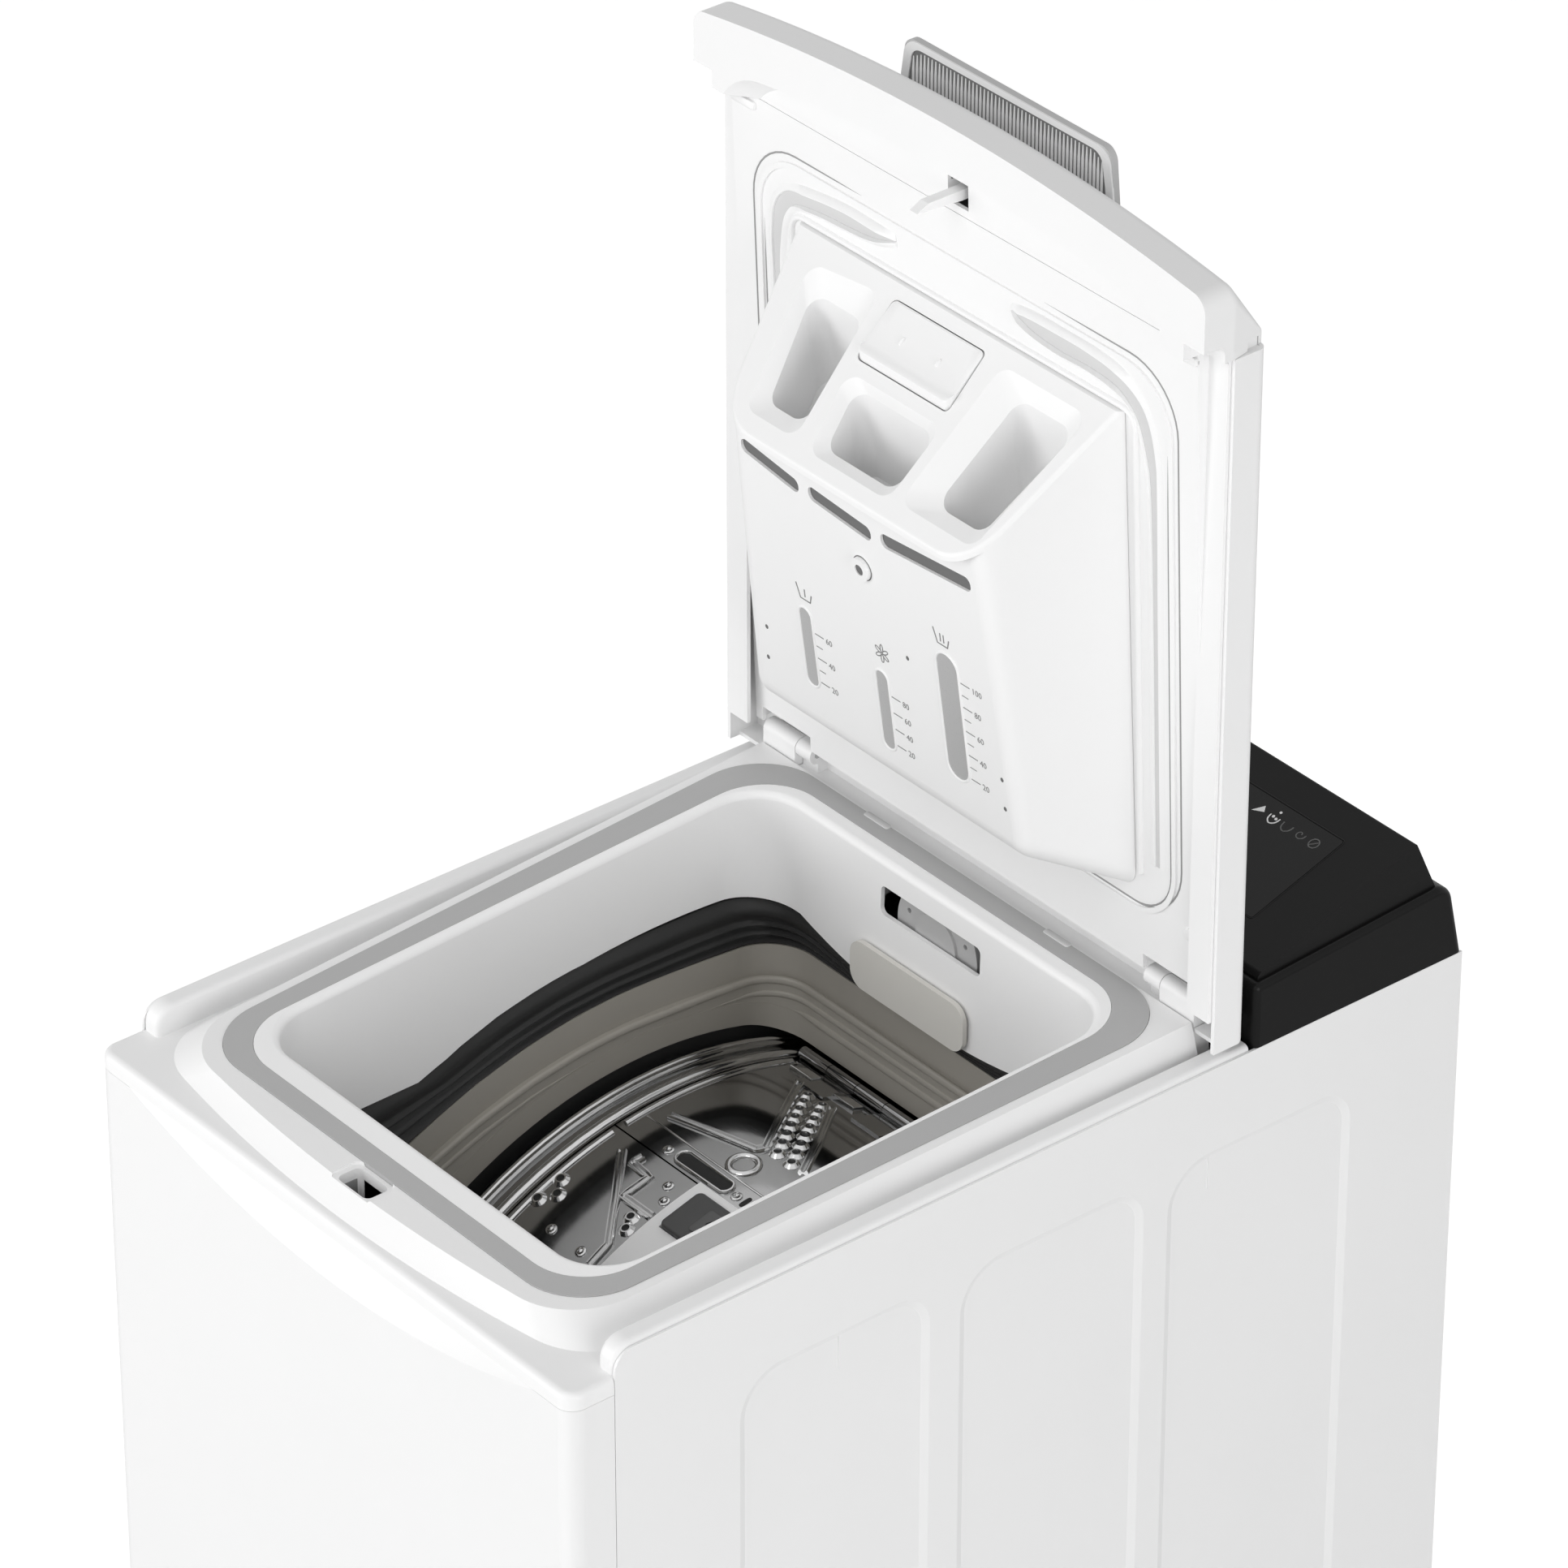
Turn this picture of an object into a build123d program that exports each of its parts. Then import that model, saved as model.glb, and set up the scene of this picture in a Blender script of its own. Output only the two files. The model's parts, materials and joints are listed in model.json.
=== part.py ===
from build123d import *
import os
from math import atan, cos, degrees, radians, sin, sqrt

# Top load washing machine with a horizontal drum, lid open as in normal loading.
# Millimetres, +Z up, origin on the floor under the middle of the cabinet, front towards -Y.

# Clearances
FIT = 0.2               # between pieces fastened to each other
RUN = 0.5               # between pieces that move past each other
SHAFT_FIT = 0.05        # radial, for pins and shafts in their bores

# Cabinet
CABINET_WIDTH = 400.0
CABINET_DEPTH = 600.0
SIDE_HEIGHT = 862.0     # top edge of the side panels
FRONT_STEP = 29.0       # the front panel stands this far ahead of the side panels
SHEET = 1.5
FLANGE = 14.0
REAR_INSET = 2.0        # the rear sheet sits this far inside the side panels' rear edges
PANEL_CORNER = 10.0
SIDE_NOSE = 12.0        # rounded front top corner of the side panels
BAY_DEPTH = 2.0
BAY_SLOPE = 4.5         # width of a bay's sloping edge
BAY_TOP_DROP = 56.5     # from the side panel's top edge to the bays
BAY_BOTTOM = 82.0
BAY_STARTS = (84.0, 229.0, 370.5)   # from the side panel's front edge
BAY_WIDTHS = (116.0, 116.0, 119.5)
BAY_FRONT_CORNER = 24.0
BAY_REAR_CORNER = 18.0

# Base, feet and kick panel
FOOT_HEIGHT = 16.0
FOOT_PAD = 10.0
FOOT_RADIUS = 20.0
FOOT_STEM = 6.0
FOOT_STEM_LENGTH = 34.0
FOOT_SIDE = 35.0
FOOT_INSET = 48.0
BASE_HEIGHT = 60.0
BASE_WALL = 4.0
BOSS_RADIUS = 16.0
BOSS_HEIGHT = 24.0
KICK_TOP = 150.0
FLAP_WIDTH = 110.0
FLAP_HEIGHT = 84.0
FLAP_PIN = 2.0

# Top frame: a ledge, two rails, and a raised rim that climbs to the rear
LIP_DROP = 14.0         # ledge top below the side panels' top edge
LEDGE = 10.0
LIP_ROUND = 4.0
RAIL_WIDTH = 12.0
RAIL_RISE = 3.0
RIM_RISE = 9.85         # rim height above the side edge at mid depth
RIM_SLOPE = 0.0406
RIM_MARGIN = 6.0
RIM_BOW = 12.0
RIM_FOOT = 12.0
RIM_FOOT_BOW = 20.0
RIM_CORNER = 42.0
TOP_REAR_INSET = 150.0
SLOT_WIDTH = 26.0
SLOT_LENGTH = 15.0
SCOOP_HALF = 172.0
SCOOP_HEIGHT = 28.0
SCOOP_DEPTH = 13.0

# Mouth, trim and funnel
MOUTH_FRONT_INSET = 57.0
MOUTH_REAR_INSET = 195.0
MOUTH_FRONT_SIDE = 57.0   # from the cabinet side
MOUTH_REAR_SIDE = 53.0
MOUTH_CORNER = 31.0
TRIM_BAND = 23.0
TRIM_BAND_SIDE_FRONT = 16.5
TRIM_BAND_SIDE_REAR = 23.5
TRIM_THICK = 3.0
BEAD_FRONT = 11.0       # white bead between the trim and the mouth
BEAD_SIDE = 5.0
BEAD_OVERHANG = 5.0     # the bead reaches in over the front wall
BEAD_ROUND = 4.0
TRIM_PROUD = 0.6
FUNNEL_WALL = 2.5
FUNNEL_DRAFT = 3.0
FUNNEL_DROP = 92.0      # side edge to the lowest the funnel reaches
# Saddle edges, as drops below the side edge: the funnel's lower edge is arched over the
# sides and dips in the middle of the rear wall, and the collar's top follows the drum
FUNNEL_ARCH = ((-0.58, 77.0), (-0.171, 51.4), (0.451, 58.0))   # shares of the tub radius behind the axis
FUNNEL_DIP = 71.0
FUNNEL_DIP_END = 53.0
FUNNEL_DIP_SIDE = 88.0
COLLAR_ARCH = ((-0.87, 151.0), (-0.607, 110.0), (-0.296, 83.0), (-0.054, 76.0), (0.179, 79.0), (0.46, 84.5))
WINDOW_HALF = 41.0
WINDOW_X = -4.0
WINDOW_DROP = 1.0       # window top below the side edge
WINDOW_HEIGHT = 18.0
TAB_WIDTH = 94.0
TAB_HEIGHT = 30.0
TAB_X = -17.0
TAB_THICK = 3.0

# Tub, drum and drive
AXIS_INSET = 286.0   # rear edge to the drum axis
AXIS_DROP = 368.0   # side edge to the drum axis
DRUM_SHARE = 0.4   # drum radius as a share of the cabinet depth
DRUM_SIDE = 72.0   # cabinet side to the drum end
DRUM_SHEET = 1.5
DRUM_RIM = 3.0          # rolled rim, proud of the shell
DRUM_RIM_WIDTH = 10.0
TUB_GAP = 12.0          # drum shell to tub
TUB_END_GAP = 14.0
TUB_WALL = 5.0
COLLAR_SIDE = 64.0
COLLAR_FRONT_INSET = 110.0
COLLAR_REAR_INSET = 192.0
COLLAR_CORNER = 25.0
COLLAR_STEP = 20.0
BELLOWS_WALL = 3.0
SHAFT_RADIUS = 15.0
SHAFT_END = 10.0
BEARING_RADIUS = 26.0
BEARING_WIDTH = 15.0
HOUSING_RADIUS = 45.0
HOUSING_WIDTH = 19.0
PULLEY_RADIUS = 142.0
PULLEY_WIDTH = 14.0
PULLEY_GAP = 4.0
MOTOR_PULLEY = 11.0
MOTOR_SHAFT = 6.0
MOTOR_OFFSET = 96.0   # behind the drum axis
MOTOR_SHARE = 0.572   # of the way from the floor to the tub
MOTOR_RADIUS = 58.0
MOTOR_LEFT = 10.0   # motor end left of the middle
MOTOR_GAP = 25.0        # pulley to the motor
BELT_THICK = 3.0
BELT_WIDTH = 10.0
SUMP_SIDE = 100.0
SUMP_REACH = 34.0   # sump ahead of and behind the drum axis
SUMP_DEPTH = 15.0
HEATER_TUBE = 4.0
WEIGHT_THICK = 26.0
WEIGHT_SIDE = 90.0
FLOAT_DOWN = 12.0       # tub travel on its springs
FLOAT_UP = 8.0
SPRING_RADIUS = 8.0
SPRING_SIDE = 24.0
SPRING_TOP_DROP = 76.0
SPRING_LENGTH = 136.0
SPRING_OFFSETS = (-124.0, 126.0)   # from the drum axis
DAMPER_SIDE = 70.0
DAMPER_OFFSET = -104.0   # from the drum axis
DAMPER_RADIUS = 14.0
DAMPER_ROD = 5.0
DAMPER_SHARE = 0.544   # of the way from the floor to the tub

# Drum flaps, angles in degrees from the top, positive to the rear
FLAP_SIDE = 21.0   # drum end to the flaps
FLAP_GAP = 1.0
FLAP_SEAM = -10.5
FLAP_FRONT = -46.5
FLAP_REAR = 21.0
KNUCKLE = 3.5
KNUCKLE_PIN = 1.5
STRAP = 1.2
STRAP_DEGREES = 6.0
LATCH_HALF = 32.0
LATCH_FRONT = -28.0
LATCH_THICK = 4.0
BUTTON_HALF = 24.0
BUTTON_LENGTH = 30.0
BUTTON_ANGLE = -15.5
BUTTON_PROUD = 3.0
BUTTON_TRAVEL = 2.0
LIFTER_HEIGHT = 45.0
LIFTER_ANGLES = (100.0, 180.0, 260.0)

# Lid, modelled open and upright
HINGE_INSET = 164.0   # rear edge to the lid hinge
HINGE_RISE = 23.0       # hinge axis above the side edge
HINGE_PIN = 2.0
HINGE_BARREL = 5.5
BARREL_INNER_SIDE = 50.0   # hinge barrels, from the cabinet side
BARREL_OUTER_SIDE = 23.0
KNUCKLE_SIDE = 63.0
LID_SHELL_DEPTH = 21.5
LID_BACK = 9.5          # hinge axis to the lid's outer face
LID_TAIL = 14.0         # lid below the hinge axis when open
LID_WALL = 2.5
LID_ROUND = 5.0
CAP_LENGTH = 40.0
LID_OVERHANG = 4.0   # lid corners ahead of the cabinet when closed
LID_BOW = 16.0
CAP_DEPTH = 42.5
CAP_NOTCH = 8.0         # notch at the cap's corners, where it passes the rails
CAP_ROUND = 6.0
CAP_STRIP = 20.0        # flat front edge of the cap, then the outside falls away
CAP_FALL = 32.0
CAP_FALL_SIDE = 5.0
LINER_SIDE = 17.0
LINER_GAP = 2.5         # closed liner above the rim
LINER_TAIL = 5.0        # hinge axis to the liner's lower edge, measured away from the floor
BORDER_DROP = 2.0
SEAL_SIDE = 36.0
SEAL_FRONT = 67.0
SEAL_BOTTOM = 40.0
SEAL_CORNER = 36.0
SEAL_WIDTH = 3.0
SEAL_HEIGHT = 1.2
HANDLE_SHARE = 0.425   # of the cabinet half width
HANDLE_TAPER = 9.0
HANDLE_THICK = 4.0
HANDLE_BACK = 38.0   # handle hinge behind the lid corners
HANDLE_REACH = 19.0   # handle tip ahead of the lid corners
HANDLE_PIN = 1.5
HANDLE_LUG_INSET = 23.0
HOOK_BACK = 28.0   # hook behind the lid corners
HOOK_THICK = 6.0
HOOK_REACH = 29.5       # claw beyond the cap's inner face
HOOK_TAIL = 15.0
HOOK_PIN = 2.0
HOOK_SLOT_HALF = 8.0
HOOK_SLOT_HEIGHT = 15.0

# Detergent dispenser on the liner
TRAY_BASE_SIDE = 68.0
TRAY_FRONT_SIDE = 102.0
TRAY_BOTTOM = 53.0      # heights above the hinge axis
TRAY_FRONT_GAP = 99.0   # lid corners to the tray
TRAY_TILT = radians(45.0)   # sloping top from upright
TRAY_LIP_ALONG = 107.0  # rear edge to the lip, down the sloping top
TRAY_LIP_FACE = 3.5
TRAY_LIP_ROUND = 3.0
TRAY_LIP_UNDER = 0.8    # rise of the lip's underside towards the wall
TRAY_CORNER = 32.0
TRAY_EDGE_SHARE = 0.067 # rounded wall edges, as a share of the front wall's height
TRAY_WALL_LEAN = 0.137
TRAY_FOOT = 83.0
TRAY_FOOT_DEPTH = 65.0  # hinge axis plane to the foot of the front wall
TRAY_WALL = 2.5
CAVITY_DEPTH = 52.0
CAVITY_BEVEL = 5.0
CAVITY_CORNER = 9.0
CAVITY_RIMS = (((-41.0, 52.0), (34.0, 52.0), (30.0, 98.0), (-33.0, 98.0)),
               ((-104.0, 14.0), (-52.0, 9.0), (-46.0, 96.0), (-86.0, 96.0)),
               ((45.0, 9.0), (113.0, 9.0), (95.0, 96.0), (37.0, 96.0)))
CAVITY_MOUTHS = (((-34.0, 57.0), (30.0, 57.0), (26.0, 92.0), (-28.0, 92.0)),
                 ((-96.0, 26.0), (-55.0, 26.0), (-50.0, 87.0), (-79.0, 87.0)),
                 ((63.0, 19.0), (107.0, 19.0), (91.0, 87.0), (55.0, 87.0)))
OVERFLOW_SLOTS = ((-94.0, -48.0, 245.0, 238.0), (-40.0, 10.0, 240.0, 236.0), (18.0, 90.0, 238.0, 244.0))
SLOT_HEIGHT = 9.0
TILE_HALF = 36.0
TILE_X = -5.0
TILE_INSET = 8.0        # from the tray's rear edge
TILE_LENGTH = 36.0
TILE_PROUD = 6.0
TILE_SUNK = 2.0
TILE_TRAVEL = 2.0
WINDOW_PLACES = ((-56.5, 111.0, 161.0, 4.5), (4.5, 101.0, 151.0, 4.5), (62.0, 111.0, 191.0, 8.0))
WINDOW_THICK = 1.5

# Console
CONSOLE_INSET = 147.5
CONSOLE_BAND = 39.0     # band height at its front end
CONSOLE_BAND_REAR = 47.0
CONSOLE_BAND_LEAN = 10.0
CONSOLE_BAND_ROUND = 12.0
CONSOLE_SIDE = 4.0
CONSOLE_WALL = 2.5
FASCIA_STEP = 4.5
FASCIA_REAR_INSET = 33.0
FASCIA_LOW = 43.0
FASCIA_HIGH = 79.0
FASCIA_BACK_INSET = 15.0
DISPLAY_LEFT = -20.0
DISPLAY_SIDE = 37.0
DISPLAY_FRONT_INSET = 118.0
DISPLAY_REAR_INSET = 54.0
DISPLAY_THICK = 1.5
KNOB_SIDE = 90.0
KNOB_RADIUS = 24.0
KNOB_HEIGHT = 15.0
KNOB_STEM = 4.0
KEY_RADIUS = 8.0
KEY_PROUD = 1.6
KEY_TRAVEL = 1.0
START_KEY_PLACE = (32.0, 72.0)   # left of the display and ahead of the rear edge
OPTION_KEY_PLACE = (32.0, 102.0)

# Water inlet and drain
VALVE_SIDE = 80.0
VALVE_DROP = 37.0
NOZZLE_RADIUS = 13.2
RECESS_DEPTH = 30.0
RECESS_HALF = 26.0
HOSE_RADIUS = 9.0
PUMP_SIDE = 115.0
PUMP_Z = 92.0
PUMP_RADIUS = 30.0
PUMP_FRONT_GAP = 16.0
PUMP_LENGTH = 105.0
FILTER_RADIUS = 24.0
FILTER_DEPTH = 40.0
DRAIN_RADIUS = 10.0
DRAIN_SIDE = 39.0
SUMP_HOSE_RADIUS = 14.0
SUMP_HOSE_BORE = 11.0
SUMP_HOSE_OFFSET = -4.0   # from the drum axis
SCREW_HEAD = 4.5

# Places that follow from the sizes above
half_w = CABINET_WIDTH / 2
front_y = -CABINET_DEPTH / 2
rear_y = CABINET_DEPTH / 2
back_y = rear_y - REAR_INSET
side_y = front_y + FRONT_STEP
inner_x = half_w - SHEET
lip_z = SIDE_HEIGHT - LIP_DROP
ledge_z = lip_z - LEDGE
rail_z = SIDE_HEIGHT + RAIL_RISE
base_top = FOOT_HEIGHT + BASE_HEIGHT
floor_z = FOOT_HEIGHT + BASE_WALL
rim_z = SIDE_HEIGHT + RIM_RISE
rim_tilt = atan(RIM_SLOPE)
hinge_z = SIDE_HEIGHT + HINGE_RISE
axis_z = SIDE_HEIGHT - AXIS_DROP
axis_y = rear_y - AXIS_INSET
hinge_y = rear_y - HINGE_INSET
mouth_front = front_y + MOUTH_FRONT_INSET
mouth_rear = rear_y - MOUTH_REAR_INSET
mouth_front_half = half_w - MOUTH_FRONT_SIDE
mouth_rear_half = half_w - MOUTH_REAR_SIDE
collar_half = half_w - COLLAR_SIDE
collar_front = front_y + COLLAR_FRONT_INSET
collar_rear = rear_y - COLLAR_REAR_INSET
top_rear = rear_y - TOP_REAR_INSET
drum_radius = CABINET_DEPTH * DRUM_SHARE
drum_half = half_w - DRUM_SIDE
flap_half = drum_half - FLAP_SIDE
motor_y = axis_y + MOTOR_OFFSET
sump_half = half_w - SUMP_SIDE
sump_front = axis_y - SUMP_REACH
sump_rear = axis_y + SUMP_REACH
weight_half = half_w - WEIGHT_SIDE
spring_x = half_w - SPRING_SIDE
spring_places = (axis_y + SPRING_OFFSETS[0], axis_y + SPRING_OFFSETS[1])
damper_x = half_w - DAMPER_SIDE
damper_y = axis_y + DAMPER_OFFSET
barrel_inner = half_w - BARREL_INNER_SIDE
barrel_outer = half_w - BARREL_OUTER_SIDE
knuckle_inner = half_w - KNUCKLE_SIDE
lid_length = hinge_y - front_y + LID_OVERHANG
cap_start = lid_length - CAP_LENGTH
liner_half = half_w - LINER_SIDE
seal_half = half_w - SEAL_SIDE
seal_top = lid_length - SEAL_FRONT
handle_start = lid_length - HANDLE_BACK
handle_end = lid_length + HANDLE_REACH
handle_half = half_w * HANDLE_SHARE
handle_tip_half = handle_half - HANDLE_TAPER
handle_lug = handle_half - HANDLE_LUG_INSET
hook_place = lid_length - HOOK_BACK
tray_base_half = half_w - TRAY_BASE_SIDE
tray_front_half = half_w - TRAY_FRONT_SIDE
tray_top = lid_length - TRAY_FRONT_GAP
console_front = rear_y - CONSOLE_INSET
console_half = half_w - CONSOLE_SIDE
fascia_front = console_front + FASCIA_STEP
fascia_rear = rear_y - FASCIA_REAR_INSET
fascia_back = rear_y - FASCIA_BACK_INSET
display_right = half_w - DISPLAY_SIDE
display_front = rear_y - DISPLAY_FRONT_INSET
display_rear = rear_y - DISPLAY_REAR_INSET
knob_x = KNOB_SIDE - half_w
start_key_at = (DISPLAY_LEFT - START_KEY_PLACE[0], rear_y - START_KEY_PLACE[1])
option_key_at = (DISPLAY_LEFT - OPTION_KEY_PLACE[0], rear_y - OPTION_KEY_PLACE[1])
valve_x = VALVE_SIDE - half_w
pump_x = half_w - PUMP_SIDE
drain_x = half_w - DRAIN_SIDE
sump_hose_y = axis_y + SUMP_HOSE_OFFSET
foot_x = half_w - FOOT_SIDE
dip_half = half_w - FUNNEL_DIP_SIDE
trim_front = mouth_front - TRIM_BAND
trim_rear = mouth_rear + TRIM_BAND
trim_front_half = mouth_front_half + TRIM_BAND_SIDE_FRONT
trim_rear_half = mouth_rear_half + TRIM_BAND_SIDE_REAR
rim_rear = hinge_y - HINGE_BARREL - RUN * 2
tub_inner = drum_radius + TUB_GAP
tub_outer = tub_inner + TUB_WALL
drum_end_x = drum_half + DRUM_RIM
tub_end_inner = drum_end_x + TUB_END_GAP
tub_end = tub_end_inner + TUB_WALL
pulley_x = tub_end + FIT + HOUSING_WIDTH + PULLEY_GAP
lid_back_y = hinge_y + LID_BACK
lid_rim_y = lid_back_y - LID_SHELL_DEPTH
cap_rim_y = lid_back_y - CAP_DEPTH
cap_z = hinge_z + cap_start
lid_tip_z = hinge_z + lid_length
fascia_slope = (FASCIA_HIGH - FASCIA_LOW) / (fascia_rear - fascia_front)
motor_length = pulley_x - MOTOR_GAP + MOTOR_LEFT
rear_height = hinge_z + tray_top
rear_point = hinge_y - hinge_z + rim_z + RIM_SLOPE * (hinge_y - tray_top) + LINER_GAP - LIP_ROUND


def tub_low(offset):
    """Height of the tub's underside, that far behind the drum axis."""
    return axis_z - sqrt(tub_outer ** 2 - offset ** 2)


motor_z = floor_z + (tub_low(MOTOR_OFFSET) - floor_z) * MOTOR_SHARE
damper_height = (tub_low(DAMPER_OFFSET) - floor_z) * DAMPER_SHARE


def block(x0, x1, y0, y1, z0, z1):
    """A box between two corners."""
    return Pos((x0 + x1) / 2, (y0 + y1) / 2, (z0 + z1) / 2) * Box(abs(x1 - x0), abs(y1 - y0), abs(z1 - z0))


def rod_x(radius, x0, x1, y, z):
    """A cylinder along X."""
    return Pos((x0 + x1) / 2, y, z) * Rot(0, 90, 0) * Cylinder(radius, abs(x1 - x0))


def rod_y(radius, x, y0, y1, z):
    """A cylinder along Y."""
    return Pos(x, (y0 + y1) / 2, z) * Rot(90, 0, 0) * Cylinder(radius, abs(y1 - y0))


def rod_z(radius, x, y, z0, z1):
    """A cylinder along Z."""
    return Pos(x, y, (z0 + z1) / 2) * Cylinder(radius, abs(z1 - z0))


def profile_x(points, x0, x1, radii=None):
    """A Y-Z polygon drawn out along X, with its corners rounded where a radius is given."""
    face = make_face(Polyline(*points, close=True))
    for index, radius in (radii or {}).items():
        corner = Vector(points[index][0], points[index][1], 0)
        face = fillet(face.vertices().sort_by_distance(corner)[0], radius)
    return extrude(Plane.YZ.offset(x0) * face, x1 - x0)


def quad(front_half, rear_half, y0, y1, radius):
    """A rounded outline that may be wider at the rear."""
    points = ((-front_half, y0), (front_half, y0), (rear_half, y1), (-rear_half, y1))
    face = make_face(Polyline(*points, close=True))
    return fillet(face.vertices(), radius)


def rim_plane(offset=0.0):
    """The sloping plane of the rim."""
    return Plane(origin=(0, 0, rim_z + offset), x_dir=(1, 0, 0), z_dir=(0, -sin(rim_tilt), cos(rim_tilt)))


def mouth(grow=0.0):
    """The loading mouth's outline, grown all round."""
    return quad(mouth_front_half + grow, mouth_rear_half + grow,
                mouth_front - grow, mouth_rear + grow, MOUTH_CORNER + grow)


def trim_inner(grow=0.0):
    """The trim's inner outline, round the funnel's bead."""
    return quad(mouth_front_half + BEAD_SIDE + grow, mouth_rear_half + BEAD_SIDE + grow,
                mouth_front - BEAD_FRONT - grow, mouth_rear + BEAD_FRONT + grow, MOUTH_CORNER + BEAD_SIDE + grow)


def trim_outline(grow=0.0):
    """The trim's outer outline."""
    return quad(trim_front_half + grow, trim_rear_half + grow,
                trim_front - grow, trim_rear + grow, MOUTH_CORNER + TRIM_BAND / 3 + grow)


def on_drum(shape, angle=0.0):
    """Turns a shape made about the X axis to its place on the drum."""
    return Pos(0, axis_y, axis_z) * Rot(-angle, 0, 0) * shape


def sector(r_in, r_out, a0, a1, x0, x1):
    """Part of a ring about the drum axis, between two angles from the top."""
    def at(radius, angle):
        return (radius * sin(radians(angle)), radius * cos(radians(angle)))
    middle = (a0 + a1) / 2
    outer = ThreePointArc(at(r_out, a0), at(r_out, middle), at(r_out, a1))
    inner = ThreePointArc(at(r_in, a1), at(r_in, middle), at(r_in, a0))
    ends = Line(at(r_out, a1), at(r_in, a1)) + Line(at(r_in, a0), at(r_out, a0))
    face = make_face(outer + ends + inner)
    return extrude(Plane.YZ.offset(x0) * face, x1 - x0)


def drum_cylinder(radius, half):
    """A cylinder on the drum's axis."""
    return rod_x(radius, -half, half, axis_y, axis_z)


def rim_height(y):
    """Height of the rim plane."""
    return rim_z + RIM_SLOPE * y


def liner_y(z):
    """The open liner's face, parallel to the rim once the lid is closed."""
    closed_y = hinge_y - (z - hinge_z)
    return hinge_y - hinge_z + rim_height(closed_y) + LINER_GAP


def fascia_z(y):
    """Height of the console's sloping face."""
    return SIDE_HEIGHT + FASCIA_LOW + fascia_slope * (y - fascia_front)


def fascia_plane(x, y):
    """A plane on the console's face."""
    tilt = atan(fascia_slope)
    return Plane(origin=(x, y, fascia_z(y)), x_dir=(1, 0, 0), z_dir=(0, -sin(tilt), cos(tilt)))


def base_frame():
    """Moulded tray with bosses for the feet."""
    half = inner_x - FIT
    y0 = front_y + SHEET + FLAP_PIN * 6
    y1 = back_y - SHEET - FIT
    tray = block(-half, half, y0, y1, FOOT_HEIGHT, base_top)
    tray -= block(-half + BASE_WALL, half - BASE_WALL, y0 + BASE_WALL, y1 - BASE_WALL, floor_z, base_top + 1)
    for x, y in foot_places():
        tray += rod_z(BOSS_RADIUS, x, y, floor_z, floor_z + BOSS_HEIGHT)
    for x, y in foot_places():
        tray -= rod_z(FOOT_STEM + SHAFT_FIT * 2, x, y, 0, floor_z + BOSS_HEIGHT + 1)
    opening = rod_y(PUMP_RADIUS + FIT, pump_x, y0 - 1, y0 + BASE_WALL + 1, PUMP_Z)
    wide = recess_half(drain_x) + SHEET + FIT
    recess = block(drain_x - wide, drain_x + wide, back_y - RECESS_DEPTH - SHEET * 2, rear_y,
                   PUMP_Z - RECESS_HALF - SHEET - FIT, base_top + 1)
    return tray - opening - recess


def foot_places():
    """Front left, front right, rear left and rear right."""
    front = front_y + FOOT_INSET
    rear = rear_y - FOOT_INSET
    return ((-foot_x, front), (foot_x, front), (-foot_x, rear), (foot_x, rear))


def foot(x, y):
    """A levelling foot: pad and threaded stem."""
    pad = rod_z(FOOT_RADIUS, x, y, 0, FOOT_PAD)
    pad = fillet(pad.edges().group_by(Axis.Z)[-1], FOOT_PAD / 4)
    collar = rod_z(FOOT_STEM * 1.6, x, y, FOOT_PAD, FOOT_HEIGHT)
    return pad + collar + rod_z(FOOT_STEM, x, y, FOOT_PAD, FOOT_HEIGHT + FOOT_STEM_LENGTH)


def panel_channel(z0, z1):
    """Front sheet with rounded corners and two flanges that run back to the side panels."""
    end = side_y - FIT * 2
    outer = make_face(Polyline((-half_w, end), (-half_w, front_y), (half_w, front_y), (half_w, end),
                               close=True))
    outer = fillet(outer.vertices().group_by(Axis.Y)[0], PANEL_CORNER)
    wide = half_w - SHEET
    depth = front_y + SHEET
    inner = make_face(Polyline((-wide, end), (-wide, depth), (wide, depth), (wide, end), close=True))
    inner = fillet(inner.vertices().group_by(Axis.Y)[0], PANEL_CORNER - SHEET)
    return extrude(Plane.XY.offset(z0) * (outer - inner), z1 - z0)


def scoop_cone(grow=0.0):
    """Crescent under the lip, cut by a shallow cone."""
    radius = (SCOOP_HALF ** 2 + SCOOP_HEIGHT ** 2) / (2 * SCOOP_HEIGHT)
    centre_z = ledge_z - SCOOP_HEIGHT + radius
    low = radius + grow
    high = radius - SCOOP_HEIGHT + grow
    depth = SCOOP_DEPTH + grow
    return Pos(0, front_y + depth / 2, centre_z) * Rot(-90, 0, 0) * Cone(low, high, depth)


def front_panel():
    """Front sheet with the finger scoop pressed in under the lip."""
    top = ledge_z - FIT
    sheet = panel_channel(KICK_TOP + FIT, top)
    reach = SCOOP_HALF + SHEET * 4
    zone = block(-reach, reach, front_y, side_y, top - SCOOP_HEIGHT - SHEET * 2, top)
    backing = scoop_cone(SHEET) & zone
    return sheet + backing - scoop_cone()


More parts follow.
